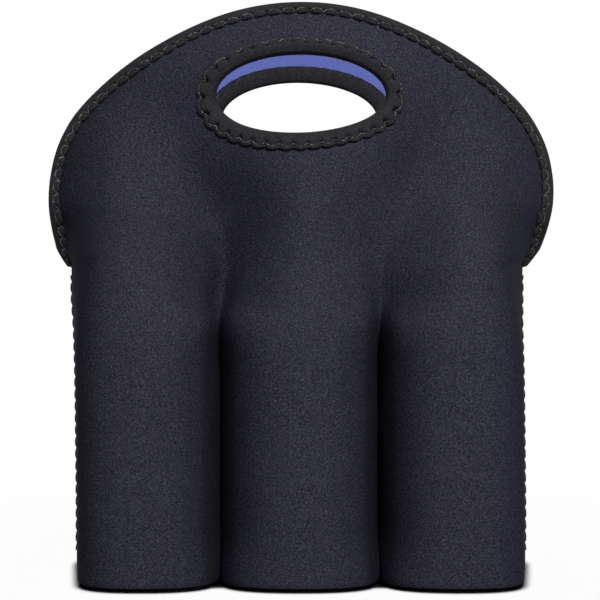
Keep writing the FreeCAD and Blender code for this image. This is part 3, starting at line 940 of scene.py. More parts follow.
@dataclass
class PanelCloth:
    """The meshed outer face of a panel, with its free edge and its handle opening's edge. Millimetres."""

    shape: PanelShape
    ring_count: int = 26
    outline_step: float = 2.4
    foot_rows: tuple[float, ...] = (1.5, 1.9, 2.5, 3.3, 4.2, 5.4)
    tube_start: float = 7.5
    tube_step: float = 3.6
    tube_stop: float = 8.0
    neck_start: float = 7.0
    neck_step: float = 1.7
    neck_stop: float = 1.0
    ear_rows: int = 16
    # Sizes of the mask that paints shade into the creases and valleys.
    hollow_reach: float = 12.0
    hollow_full: float = 6.0
    hollow_end: float = 100.0
    hollow_fade: float = 20.0
    edge_passes: int = 4

    def __post_init__(self) -> None:
        """Meshes the tubes as a grid and the flap as rings round the handle opening."""
        self._mesh_tubes()
        self._mesh_flap()
        self.normals = vertex_normals(self.points, np.array(self.faces))

    def _row_heights(self) -> Array:
        """Spaces the grid's rows, closer where the shape turns.

        Returns:
            Heights from the foot to the fold.
        """
        top, notch = self.shape.divider_top, self.shape.notch
        parts = [
            np.array(self.foot_rows),
            np.arange(self.tube_start, top - self.tube_stop, self.tube_step),
            np.arange(top - self.neck_start, notch - self.neck_stop, self.neck_step),
            np.linspace(notch, self.shape.fold, self.ear_rows),
        ]
        return np.concatenate(parts)

    def _mesh_tubes(self) -> None:
        """Meshes the grid from the base to the fold."""
        shape = self.shape
        rows = []
        for height in self._row_heights():
            outline = shape.outline(height)
            lift = max(0.0, shape.foot_round - height) / shape.foot_round
            inset = shape.foot_round * (1 - math.sqrt(1 - lift**2)) * shape.foot_tuck
            outline = outline + inward_of(outline) * inset
            outline[[0, -1], 1] = np.minimum(outline[[0, -1], 1], 0.0)
            rows.append(np.column_stack([outline, np.full(len(outline), height)]))
        self.points = np.concatenate(rows)
        self.grid = np.arange(len(self.points)).reshape(len(rows), -1).tolist()
        self.faces = strip_faces(self.grid, False)

    def _mesh_flap(self) -> None:
        """Meshes the rings between the handle opening and the flap's outline."""
        shape = self.shape
        outline = shape.half_moon(shape.tape_thick, self.outline_step)
        rim = np.concatenate([self.points[self.grid[-1]][:, [0, 2]], outline])
        halves = np.array([shape.handle_half_length, shape.handle_half_height]) + shape.tape_thick
        aim = (rim - shape.handle_middle) / halves
        hole = shape.hole(np.arctan2(aim[:, 1], aim[:, 0]))
        shares = np.linspace(0.0, 1.0, self.ring_count + 1)[1:]
        rings = [outline, *(rim * (1 - share) + hole * share for share in shares)]
        blocks = [np.column_stack([r[:, 0], shape.deep_at(r[:, 0], r[:, 1]), r[:, 1]]) for r in rings]
        start = len(self.points)
        self.points = np.concatenate([self.points, *blocks])
        border = list(range(start, start + len(outline)))
        inner = np.arange(start + len(outline), len(self.points)).reshape(self.ring_count, -1).tolist()
        loops = [self.grid[-1] + border, *inner]
        self.faces += strip_faces(loops)
        levels = self.points[[row[0] for row in self.grid], 2]
        ears = self.grid[int(np.argmin(np.abs(levels - shape.notch))) + 1 :]
        self.free_edge = np.array([row[-1] for row in ears] + border + [row[0] for row in reversed(ears)])
        self.hole_edge = np.array(loops[-1][::-1])

    def layer(self, outer: float, inner: float) -> tuple[Array, Quads]:
        """Points and faces of a closed layer between two depths below the panel's outer face."""
        points = np.concatenate([self.points - self.normals * deep for deep in (outer, inner)])
        return points, thicken(self.faces, len(self.points))

    def hollows(self) -> Array:
        """Finds how far each point lies behind its neighbours along the row, as the mask of painted shade in
        the valleys and creases.

        Returns:
            One number for each point: 0 on open cloth, 1 deep in a valley.
        """
        across, heights = self.points[:, 0], self.points[:, 2]
        sides = (-self.hollow_reach, self.hollow_reach)
        beside = [self.shape.deep_at(across + side, heights) for side in sides]
        behind = self.shape.deep_at(across, heights) - np.mean(beside, axis=0)
        fade = np.clip((self.hollow_end - np.abs(across)) / self.hollow_fade, 0.0, 1.0)
        return np.clip(behind / self.hollow_full, 0.0, 1.0) * fade

    def edge(self, indices: Array, closed: bool) -> Edge:
        """Follows a cloth edge, with its directions smoothed along its length.

        Args:
            indices: the points along it.
            closed: whether it is a loop.

        Returns:
            The edge.
        """
        points = self.points[indices]
        outward = self.normals[indices]
        if closed:
            points = np.concatenate([points, points[:1]])
            outward = np.concatenate([outward, outward[:1]])
        along = unit(np.gradient(points, axis=0))
        if closed:
            along[[0, -1]] = unit(along[0] + along[-1])
        for _ in range(self.edge_passes):
            outward[1:-1] = unit(outward[:-2] + 2 * outward[1:-1] + outward[2:])
        return Edge(points, outward, unit(np.cross(outward, along)), closed)


@dataclass(frozen=True)
class ThreadSize:
    """Sizes of a sewn thread, in millimetres, and how far a stitch runs past its ends."""

    width: float
    height: float
    overlap: float = 1.25


@dataclass
class Tape:
    """Padded tape folded over a cloth edge and held by a zigzag. Millimetres.

    A swell is (share of the reach over the cloth, share of the loft). An under point is
    (share of that reach, more reach, share of the cloth's thickness, more lift).
    """

    width: float
    pitch: float
    cusp: float
    crest: float
    step: float
    thread: ThreadSize
    loft: float = 2.2
    inner_loft: float = 1.5
    inner_relief: float = 0.3
    rim_relief: float = 0.6
    cloth: float = 4.0
    beyond: float = 1.5
    bend_points: int = 7
    scallop: float = 0.2
    puff: float = 0.5
    arch_power: float = 0.7
    groove: float = 0.55
    groove_width: float = 0.6
    dent: float = 1.8
    dent_size: float = 0.95
    thread_sink: float = 0.3
    thread_dip: float = 0.6
    squeeze: float = 0.0
    wider_below: float = 0.0
    wider_left: float = 0.0
    wider_sides: float = 0.0
    fold: float = 0.0
    fold_size: float = 0.7
    fold_end: float = 1.2
    fold_shares: tuple[float, float, float, float] = (0.2, 0.8, 1.0, 0.0)
    arch_legs: int = 6
    swells: tuple[tuple[float, float], ...] = (
        (1.0, 0.34), (0.99, 0.5), (0.95, 0.62), (0.9, 0.71), (0.84, 0.79), (0.77, 0.86), (0.7, 0.91),
        (0.62, 0.95), (0.54, 0.98), (0.45, 1.0), (0.35, 0.98), (0.24, 0.92), (0.12, 0.8), (0.0, 0.6),
    )
    unders: tuple[tuple[float, float, float, float], ...] = (
        (0.8, 0.0, -1.0, -0.03), (0.5, 0.0, -1.0, -0.03), (0.0, 0.1, -1.0, -0.03), (0.0, -0.3, -0.75, 0.0),
        (0.0, -0.3, -0.25, 0.0), (0.0, 0.1, 0.0, 0.03), (0.5, 0.0, 0.0, 0.03), (0.8, 0.0, 0.0, 0.03),
    )

    @property
    def lip(self) -> float:
        """How far the tape reaches over the cloth."""
        return self.width - self.beyond

    def rise(self, inward: Array, face: Face) -> Array:
        """How high the tape stands over the cloth's face.

        Args:
            inward: distances from the cloth's edge.
            face: the side of the cloth.

        Returns:
            Heights at those distances.
        """
        loft = self.loft if face is Face.OUTSIDE else self.inner_loft
        places, shares = np.array(self.swells[::-1]).T
        return loft * np.interp(inward, places * self.lip, shares)

    def zigzags(self, length: float) -> int:
        """Number of whole zigzags along an edge."""
        return round(length / self.pitch)

    def hump(self, phase: Array) -> Array:
        """A soft arch from cusp to cusp, between 0 and 1."""
        return np.abs(np.sin(math.pi * phase)) ** self.arch_power

    def arch(self, phase: Array) -> Array:
        """How far inward the zigzag runs."""
        return self.cusp + (self.crest - self.cusp) * self.hump(phase)

    def spread(self, inward: Array) -> Array:
        """How much wider the tape lies where it is pulled.

        Args:
            inward: the ways that lead into the cloth.

        Returns:
            A factor for each of them.
        """
        below, left = np.clip(-inward[:, 2], 0.0, 1.0), np.clip(-inward[:, 0], 0.0, 1.0)
        level = np.hypot(inward[:, 0], inward[:, 1])
        return 1 + self.wider_below * below + self.wider_left * left + self.wider_sides * level**2

    def _section(self) -> tuple[Array, Array]:
        """Draws the tape's closed section.

        Returns:
            Points as (inward, outward), and the value of the face each one shows on, or 0.
        """
        reach = np.array(self.swells)[:, 0] * self.lip
        outside = np.stack([reach, self.rise(reach, Face.OUTSIDE)], axis=1)
        inside = np.stack([reach[::-1], -self.cloth - self.rise(reach[::-1], Face.INSIDE)], axis=1)
        turn = np.linspace(math.pi / 2, -math.pi / 2, self.bend_points + 2)[1:-1]
        middle = (outside[-1, 1] + inside[0, 1]) / 2
        half = (outside[-1, 1] - inside[0, 1]) / 2
        bend = np.stack([-self.beyond * np.cos(turn), middle + half * np.sin(turn)], axis=1)
        of_lip, more_reach, of_cloth, more_lift = np.array(self.unders).T
        under = np.stack([self.lip * of_lip + more_reach, self.cloth * of_cloth + more_lift], axis=1)
        section = np.concatenate([outside, bend, inside, under])
        faces = np.zeros(len(section))
        faces[: len(outside)] = Face.OUTSIDE.value
        faces[len(outside) + len(bend) : len(section) - len(under)] = Face.INSIDE.value
        return section, faces

    def build(self, name: str, edge: Edge, row: Row) -> bpy.types.Object:
        """Sweeps the tape along an edge, pressed in along its zigzag and puffed between.

        Args:
            name: the piece's name.
            edge: the cloth edge.
            row: the side of the carrier.

        Returns:
            The tape as a closed mesh.
        """
        length = edge.runs()[-1]
        runs = np.linspace(0.0, length, round(length / self.step) + 1)
        if edge.closed:
            runs = runs[:-1]
        points, outward, inward = edge.at(runs)
        section, faces_of = self._section()
        across, lift = section.T
        phase = ((runs * self.zigzags(length) / length) % 1.0)[:, None]
        wave = 2 * self.hump(phase) - 1
        from_cusp = np.minimum(phase, 1 - phase) * length / self.zigzags(length)
        pinch = self.dent * np.exp(-((from_cusp / self.dent_size) ** 2))
        ends = (np.abs(points[:, :1]) / np.abs(points[:, 0]).max()) ** 2
        gather = 1 + self.squeeze * ends
        pleat = self.fold * ends**2 * np.exp(-((from_cusp / self.fold_size) ** 2))
        share = np.clip(across / self.lip, 0.0, 1.0)
        shown = np.where(faces_of > 0, 1.0, self.inner_relief) * np.abs(faces_of)
        fold_places = (0.0, 1.0, self.cusp, self.cusp + self.fold_end)
        pressed = np.exp(-(((across - self.arch(phase)) / self.groove_width) ** 2)) * self.groove
        pressed += np.exp(-(((across - self.cusp) / self.dent_size) ** 2)) * pinch
        pressed += np.interp(across, fold_places, self.fold_shares) * pleat
        puffed = self.puff * self.scallop * wave * share**2
        lift = lift + faces_of * shown * (puffed - pressed) * gather
        sideways = np.where(faces_of == 0, self.rim_relief, shown)
        across = across + self.scallop * wave * share**4 * sideways * gather
        across = np.where(across > 0, across * self.spread(inward)[:, None], across)
        vertices = points[:, None] + across[..., None] * inward[:, None] + lift[..., None] * outward[:, None]
        rings = np.arange(across.size).reshape(across.shape)
        lines = rings.T.tolist()
        faces = strip_faces(lines + lines[:1], edge.closed)
        if not edge.closed:
            faces += [rings[0].tolist(), rings[-1, ::-1].tolist()]
        return new_piece(name, row.turn(vertices.reshape(-1, 3)), faces)

    def legs(self, edge: Edge, face: Face) -> tuple[Array, Array, Array]:
        """The legs of the zigzag on one face of the tape.

        Args:
            edge: the cloth edge.
            face: the side of the cloth it lies on.

        Returns:
            Starts, ends and lifts of the legs.
        """
        length = edge.runs()[-1]
        count = self.arch_legs * self.zigzags(length)
        points, outward, inward = edge.at(np.linspace(0.0, length, count + 1))
        step = np.arange(count + 1) % self.arch_legs
        reach = self.arch(step / self.arch_legs)
        rise = self.rise(reach, face) - self.thread_sink - self.thread_dip * self.dent * (step == 0)
        lift = rise if face is Face.OUTSIDE else -self.cloth - rise
        corners = points + inward * (reach * self.spread(inward))[:, None] + outward * lift[:, None]
        kept = np.ones(count, bool)
        if face is Face.INSIDE:
            kept = (step[:-1] == 0) | (step[:-1] == self.arch_legs - 1)
        return corners[:-1][kept], corners[1:][kept], outward[:-1][kept] * face.value


# Stitches


class StitchTree(Wiring):
    """A node tree that lays one short thread on each point of a stitch row."""

    BEAD = {"Segments": 8, "Rings": 6, "Radius": 0.5}

    def __init__(self) -> None:
        """Builds the tree."""
        super().__init__(bpy.data.node_groups.new("stitch_row", "GeometryNodeTree"))
        self._socket("Stitch Points", "Geometry")
        self.width = self._socket("Thread Width", "Float")
        self.height = self._socket("Thread Height", "Float")
        self.overlap = self._socket("Overlap", "Float")
        self.material = self._socket("Thread", "Material")
        self._socket("Stitches", "Geometry", "OUTPUT")
        self._wire()

    def _socket(self, name: str, kind: str, way: str = "INPUT") -> str:
        """Adds a socket to the tree's face and gives its identifier."""
        face = self.tree.interface
        return face.new_socket(name, in_out=way, socket_type=f"NodeSocket{kind}").identifier

    def _then(self, kind: str, sockets: dict[Any, Any], **settings: Any) -> Signal:
        """A new node's first output."""
        return self.signal(self.node(kind, settings, sockets))

    def _wire(self) -> None:
        """Links the nodes from the stitch points to the finished threads."""
        given = self.node("NodeGroupInput")
        spot, width, height, overlap, thread = (self.signal(given, k) for k in range(5))
        leg, lift = (
            self.signal(
                self.node("GeometryNodeInputNamedAttribute", {"data_type": "FLOAT_VECTOR"}, {"Name": name}),
                "Attribute",
            )
            for name in ("leg", "lift")
        )
        length = self.signal(self.node("ShaderNodeVectorMath", {"operation": "LENGTH"}, {0: leg}), "Value")
        scale = self._then("ShaderNodeCombineXYZ", {"X": length * overlap, "Y": width, "Z": height})
        align = "FunctionNodeAlignRotationToVector"
        ahead = self._then(align, {"Vector": leg}, axis="X")
        upright = self._then(align, {"Rotation": ahead, "Vector": lift}, axis="Z", pivot_axis="X")
        bead = self._then("GeometryNodeMeshUVSphere", self.BEAD)
        sockets = {"Points": spot, "Instance": bead, "Rotation": upright, "Scale": scale}
        spread = self._then("GeometryNodeInstanceOnPoints", sockets)
        real = self._then("GeometryNodeRealizeInstances", {"Geometry": spread})
        soft = self._then("GeometryNodeSetShadeSmooth", {"Geometry": real})
        coloured = self._then("GeometryNodeSetMaterial", {"Geometry": soft, "Material": thread})
        self.node("NodeGroupOutput", {}, {"Stitches": coloured})

    def sew(
        self, name: str, legs: tuple[Array, Array, Array], thread: ThreadSize, material: bpy.types.Material
    ) -> bpy.types.Object:
        """Lays a row of stitches.

        Args:
            name: the piece's name.
            legs: where each stitch starts, where it ends, and the way it stands off the cloth.
            thread: the thread's sizes.
            material: the thread's material.

        Returns:
            The stitches as one plain mesh.
        """
        starts, ends, lifts = legs
        mesh = bpy.data.meshes.new(f"{name}_points")
        mesh.from_pydata(((starts + ends) / 2 * MM).tolist(), [], [])
        for attribute, values in (("leg", (ends - starts) * MM), ("lift", lifts)):
            data = mesh.attributes.new(attribute, "FLOAT_VECTOR", "POINT").data
            data.foreach_set("vector", np.ascontiguousarray(values, dtype=np.float32).ravel())
        source = new_object(f"{name}_points", mesh)
        modifier = source.modifiers.new("stitches", "NODES")
        modifier.node_group = self.tree
        modifier[self.width] = thread.width * MM
        modifier[self.height] = thread.height * MM
        modifier[self.overlap] = thread.overlap
        modifier[self.material] = material
        graph = bpy.context.evaluated_depsgraph_get()
        plain = bpy.data.meshes.new_from_object(source.evaluated_get(graph))
        bpy.data.objects.remove(source)
        bpy.data.meshes.remove(mesh)
        plain.name = name
        return dress(new_object(name, plain), material, "sewing_thread")


# The carrier's sub-assemblies


@dataclass
class Wardrobe:
    """The materials of the carrier."""

    neoprene: bpy.types.Material
    lining: bpy.types.Material
    tape: bpy.types.Material
    thread: bpy.types.Material
    crease_thread: bpy.types.Material


@dataclass
class SidePanel:
    """One side of the carrier: panel, lining, tapes and stitches. Millimetres."""

    row: Row
    cloth: PanelCloth
    wardrobe: Wardrobe
    stitches: StitchTree
    edge_tape: Tape
    handle_tape: Tape
    foam: float = 3.4
    jersey: float = 0.6
    bend_low: float = 152.0
    bend_high: float = 200.0

    @property
    def flap(self) -> str:
        """The body that the flap is."""
        return f"{self.row.word}_flap"

    def bend(self, piece: bpy.types.Object) -> None:
        """Bakes a piece's placement into its mesh."""
        self.bend_low * MM
        self.bend_high * MM
        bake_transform(piece)

    def ride(self, piece: bpy.types.Object) -> None:
        """Lets a piece move with the flap."""
        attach(piece, self.flap)

    def build(self) -> None:
        """Builds and dresses every piece of this side."""
        word, cloth, foam = self.row.word, self.cloth, self.foam
        shell = self._layer("shell", 0.0, foam, self.wardrobe.neoprene, "shell_neoprene")
        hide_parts(f"{word}_body_panel", f"{word}_handle_flap")
        # The shell carries the mask of painted shade for its creases and valleys; the lining's half gets
        # none.
        hollows = cloth.hollows()
        values = shell.data.attributes.new("hollow", "FLOAT", "POINT").data
        values.foreach_set("value", np.concatenate([hollows, np.zeros_like(hollows)]))
        lining = self._layer("lining", foam, foam + self.jersey, self.wardrobe.lining, "lining_jersey")
        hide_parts(f"{word}_body_lining", f"{word}_flap_lining")
        edge, hole = cloth.edge(cloth.free_edge, False), cloth.edge(cloth.hole_edge, True)
        self._bind("edge", edge, self.edge_tape, (0.019, 0.418), self.bend, f"{word}_edge_binding_ends")
        self._bind("handle", hole, self.handle_tape, (0.021, 0.207), self.ride)

    def _layer(
        self, kind: str, outer: float, inner: float, material: bpy.types.Material, slot: str
    ) -> bpy.types.Object:
        """Builds one layer of the panel as a sheet.

        Args:
            kind: the layer's name.
            outer: depth of its outer face below the panel's outer face.
            inner: depth of its inner face.
            material: what it is made of.
            slot: the name reported for that material.

        Returns:
            The dressed layer.
        """
        points, faces = self.cloth.layer(outer, inner)
        piece = dress(new_piece(f"{self.row.word}_{kind}", self.row.turn(points), faces), material, slot)
        self.bend(piece)
        return piece

    def _bind(
        self,
        kind: str,
        edge: Edge,
        tape: Tape,
        flat: tuple[float, float],
        hold: Callable[[bpy.types.Object], None],
        *ends: str,
    ) -> None:
        """Binds an edge with its tape and the zigzags on both faces of it.

        Args:
            kind: the edge's name.
            edge: the cloth edge.
            tape: the tape's sizes.
            flat: the tape's flat size in metres; not used.
            hold: ties a piece to what it moves with.
            ends: nodes that the tape replaces besides its own.
        """
        word = self.row.word
        piece = dress(tape.build(f"{word}_{kind}_tape", edge, self.row), self.wardrobe.tape, "binding_tape")
        hold(piece)
        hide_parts(f"{word}_{kind}_binding", *ends)
        rows = zip(*(tape.legs(edge, face) for face in Face))
        legs = tuple(self.row.turn(np.concatenate(parts)) for parts in rows)
        threads = self.stitches.sew(f"{word}_{kind}_zigzag", legs, tape.thread, self.wardrobe.thread)
        hold(threads)
        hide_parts(f"{word}_{kind}_stitching")


@dataclass
class Base:
    """The scalloped base and its lining. Millimetres."""

    shape: PanelShape
    wardrobe: Wardrobe
    thick: float = 3.4
    jersey: float = 0.6
    wall: float = 4.0
    tuck: float = 2.2
    edge_ease: float = 1.2
    lining_ease: float = 0.1
    plan_level: float = 8.0
    plan_half: float = 90.0
    corner: float = 0.3
    rings: int = 8
    ring_shares: tuple[float, float] = (0.85, 0.1)

    def _plan(self, inset: float) -> Array:
        """Draws the whole plan outline of the foot.

        Args:
            inset: how far it is drawn in.

        Returns:
            Points as (x, y), all the way round.
        """
        front = self.shape.outline(self.plan_level)
        front = front + inward_of(front) * inset
        back = front[::-1] * np.array([1.0, -1.0])
        return np.concatenate([front[:-1], back[:-1]])

    def _slab(self, name: str, inset: float, low: float, high: float, ease: float) -> bpy.types.Object:
        """Makes a closed slab under the plan outline with a rounded lower edge.

        Args:
            name: the piece's name.
            inset: how far the outline is drawn in.
            low: the height of its underside.
            high: the height of its top.
            ease: how round the lower edge is.

        Returns:
            The slab.
        """
        rim = self._plan(inset)
        count = len(rim)
        shares = np.linspace(*self.ring_shares, self.rings)
        soft = self.corner * ease
        levels = [(high, share) for share in shares[::-1]] + [(high, 1.0), (low + ease, 1.0)]
        levels += [(low + soft, 1 - soft / self.plan_half), (low, 1 - ease / self.plan_half)]
        levels += [(low, share) for share in shares]
        blocks = [np.column_stack([rim * share, np.full(count, level)]) for level, share in levels]
        loops = np.arange(count * len(levels)).reshape(-1, count).tolist()
        faces = strip_faces(loops[::-1])
        crown = count * len(levels)
        for middle, loop in ((crown, loops[0]), (crown + 1, loops[-1][::-1])):
            faces += [[middle, start, end] for start, end in zip(loop, loop[1:] + loop[:1])]
        middles = np.array([[0.0, 0.0, high], [0.0, 0.0, low]])
        return new_piece(name, np.concatenate([*blocks, middles]), faces)

    def build(self) -> None:
        """Builds and dresses the base and its lining."""
        shell = self._slab("base_shell", self.tuck, 0.0, self.thick, self.edge_ease)
        dress(shell, self.wardrobe.neoprene, "shell_neoprene")
        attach(shell, "carrier")
        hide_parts("base_panel")
        ease = self.lining_ease
        inside = self._slab("base_inner", self.wall + ease, self.thick, self.thick + self.jersey, ease)
        dress(inside, self.wardrobe.lining, "lining_jersey")
        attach(inside, "carrier")
        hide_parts("base_lining")


@dataclass
class Dividers:
    """The three slotted dividers. Millimetres."""

    shape: PanelShape
    wardrobe: Wardrobe
    thick: float = 3.0
    low: float = 4.0
    clearance: float = 0.15
    side_gap: float = 4.1
    crease_gap: float = 6.1
    crease_sewn: float = 3.6
    slot_keep: float = 10.0
    slot_past: float = 1.0
    wave: float = 0.5
    wave_run: float = 17.0
    thinnest: float = 0.02
    least_step: float = 0.01
    columns: int = 9
    rows: tuple[int, int, int] = (8, 10, 8)
    top_rows: tuple[float, ...] = (0.0, 0.25, 0.6, 1.1, 1.7)

    @property
    def cross_half(self) -> float:
        """Half the length of a cross divider."""
        return self.shape.tube_front - self.shape.crease - self.crease_gap

    def _row_heights(self, slot_low: float, slot_high: float) -> Array:
        """Spaces the rows of a sheet, with rows at the ends of its slots.

        Args:
            slot_low: lower end of the slots.
            slot_high: upper end of the slots.

        Returns:
            Rising heights.
        """
        top = self.shape.divider_top
        below, slotted, above = self.rows
        parts = [
            np.linspace(self.low, max(slot_low, self.low + self.least_step), below),
            np.linspace(max(slot_low, self.low), min(slot_high, top), slotted),
            np.linspace(min(slot_high, top), top, above),
            top - np.array(self.top_rows),
        ]
        return np.unique(np.concatenate(parts).round(4))

    def _sheet(
        self,
        name: str,
        half_length: float,
        slots: Sequence[float],
        slot_ends: tuple[float, float],
        stand: Callable[[Array, Array, Array], Array],
    ) -> None:
        """Builds and dresses a flat sheet with rounded faces and slots.

        Args:
            name: the piece's name.
            half_length: half its length.
            slots: where its slots are along it.
            slot_ends: lower and upper end of the slots.
            stand: turns (along, height, off-face) arrays into points.
        """
        slot_low, slot_high = slot_ends
        half_slot = self.thick / 2 + self.clearance
        sides = {place + side for place in slots for side in (-half_slot, half_slot)}
        stops = sorted({-half_length, half_length, *sides})
        along = np.unique(np.concatenate([np.linspace(a, b, self.columns) for a, b in zip(stops, stops[1:])]))
        heights = self._row_heights(slot_low, slot_high)
        top = self.shape.divider_top
        centre, middle = ((places[:-1] + places[1:]) / 2 for places in (along, heights))
        beside = np.all([np.abs(centre - place) >= half_slot for place in slots], axis=0)
        whole = ((middle <= slot_low) | (middle >= slot_high))[:, None] | beside
        grid_a, grid_h = np.meshgrid(along, heights)
        ease = np.clip((top - grid_h) / (self.thick / 2), 0.0, 1.0)
        half = self.thick / 2 * np.sqrt(np.clip(1 - (1 - ease) ** 2, self.thinnest, 1.0))
        wave = self.wave * np.sin(grid_a / self.wave_run) * ((grid_h - self.low) / (top - self.low)) ** 2
        points = np.concatenate(
            [stand(grid_a.ravel(), grid_h.ravel(), off.ravel()) for off in (wave - half, wave + half)]
        )
        index = np.arange(grid_a.size).reshape(grid_a.shape)
        corners = np.stack([index[:-1, :-1], index[:-1, 1:], index[1:, 1:], index[1:, :-1]], axis=-1)
        used, faces = np.unique(thicken(corners[whole].tolist(), grid_a.size), return_inverse=True)
        piece = new_piece(name, points[used], faces.reshape(-1, 4).tolist())
        dress(piece, self.wardrobe.lining, "lining_jersey")
        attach(piece, "carrier")
        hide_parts(name.replace("_sheet", ""))
        length = 2 * half_length * MM
        (top - self.low) * MM

    def _centre_point(self, along: Array, heights: Array, off: Array) -> Array:
        """Points of the centre divider, which sags with the side seams."""
        moved = along + self.shape.sagged(along, heights, *self.shape.side_sag)
        return np.stack([moved, off, heights], axis=1)

    def _cross_point(self, across: float, along: Array, heights: Array, off: Array) -> Array:
        """Stands a cross divider between two creases, with its ends at the bottoms it is sewn into.

        Args:
            across: where the creases are along X.
            along: places along the divider.
            heights: how high they are.
            off: how far they stand off its middle.

        Returns:
            Points as (x, y, z).
        """
        shape, keep = self.shape, self.slot_keep
        level = np.minimum(heights, shape.divider_top)
        moved = across + shape.crease_moved(np.full(len(along), across), level)
        ends = np.array([-shape.crease_deep(height) - self.crease_sewn for height in heights])
        outer = np.clip(np.abs(along) - keep, 0.0, None)
        inner = np.minimum(np.abs(along), keep)
        drawn = np.sign(along) * (inner + outer * (ends - keep) / (self.cross_half - keep))
        return np.stack([moved - off, drawn, heights], axis=1)

    def build(self) -> None:
        """Builds the centre divider and the two cross dividers."""
        shape = self.shape
        half_way = (self.low + shape.divider_top) / 2
        pitch = shape.column_pitch / 2
        from_above = (half_way - self.clearance, shape.divider_top + self.slot_past)
        half_length = shape.seam_half_width - self.side_gap
        self._sheet("centre_divider_sheet", half_length, [-pitch, pitch], from_above, self._centre_point)
        from_below = (0.0, half_way + self.clearance)
        for end in End:
            stand = partial(self._cross_point, end.value * pitch)
            self._sheet(f"{end.word}_cross_divider_sheet", self.cross_half, [0.0], from_below, stand)


@dataclass
class Seams:
    """The side seam zigzags and the stitches down the creases. Millimetres."""

    shape: PanelShape
    wardrobe: Wardrobe
    stitches: StitchTree
    foot: float = 3.4
    pitch: float = 6.0
    reach: float = 2.5
    inset: float = 4.0
    sink: float = 0.15
    side_thread: ThreadSize = ThreadSize(1.3, 1.2, 1.2)
    crease_low: float = 4.0
    crease_pitch: float = 5.5
    crease_stitch: float = 4.0
    crease_stand: float = 0.3
    crease_thread: ThreadSize = ThreadSize(0.8, 0.8, 1.0)

    @staticmethod
    def _place(piece: bpy.types.Object, node: str) -> None:
        """Ties a row of stitches to the carrier."""
        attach(piece, "carrier")
        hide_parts(node)

    def _in_crease(self, across: float, height: float, row: Row) -> list[float]:
        """Finds a point just outside the bottom of a crease.

        Args:
            across: where the crease is along X.
            height: how high the point is.
            row: the side of the carrier.

        Returns:
            The point as [x, y, z].
        """
        deep = self.shape.crease_deep(height) - self.crease_stand
        moved = across + float(self.shape.crease_moved(np.array(across), np.array(height)))
        return [moved, -row.value * deep, height]

    def build(self) -> None:
        """Builds the seams of both ends and the stitches of both creased panels."""
        shape = self.shape
        low, high = self.foot + self.inset, shape.notch - self.inset
        count = 2 * round((high - low) / self.pitch)
        levels = np.linspace(low, high, count + 1)
        swing = np.where(np.arange(count + 1) % 2 == 0, -self.reach, self.reach)
        for end in End:
            across = np.full(count + 1, end.value * (shape.seam_half_width - self.sink))
            across = across + shape.sagged(across, levels, *shape.side_sag)
            corners = np.stack([across, swing, levels], axis=1)
            legs = (corners[:-1], corners[1:], np.tile([float(end.value), 0.0, 0.0], (count, 1)))
            piece = self.stitches.sew(
                f"{end.word}_side_zigzag", legs, self.side_thread, self.wardrobe.thread
            )
            self._place(piece, f"{end.word}_side_seam_thread")
        first = self.crease_low + self.crease_pitch - self.crease_stitch
        starts = np.arange(first, shape.divider_top - self.crease_stitch, self.crease_pitch)
        places = [(end.value * shape.column_pitch / 2, z) for end in End for z in starts]
        for row in Row:
            bounds = [
                np.array([self._in_crease(x, z + run, row) for x, z in places])
                for run in (0.0, self.crease_stitch)
            ]
            legs = (*bounds, np.tile([0.0, float(row.value), 0.0], (len(places), 1)))
            piece = self.stitches.sew(
                f"{row.word}_crease_stitches", legs, self.crease_thread, self.wardrobe.crease_thread
            )
            self._place(piece, f"{row.word}_divider_stitching")


@dataclass(frozen=True)
class Lamp:
    """A square soft lamp. Metres and watts."""

    name: str
    place: tuple[float, float, float]
    size: float
    watts: float

    def build(self, target: tuple[float, float, float]) -> None:
        """Hangs the lamp and aims it.

        Args:
            target: the point it is aimed at.
        """
        data = bpy.data.lights.new(self.name, "AREA")
        data.shape = "SQUARE"
        data.size = self.size
        data.energy = self.watts
        lamp = new_object(self.name, data)
        lamp.location = self.place
        aim = Vector(target) - Vector(self.place)
        lamp.rotation_euler = aim.to_track_quat("-Z", "Y").to_euler()


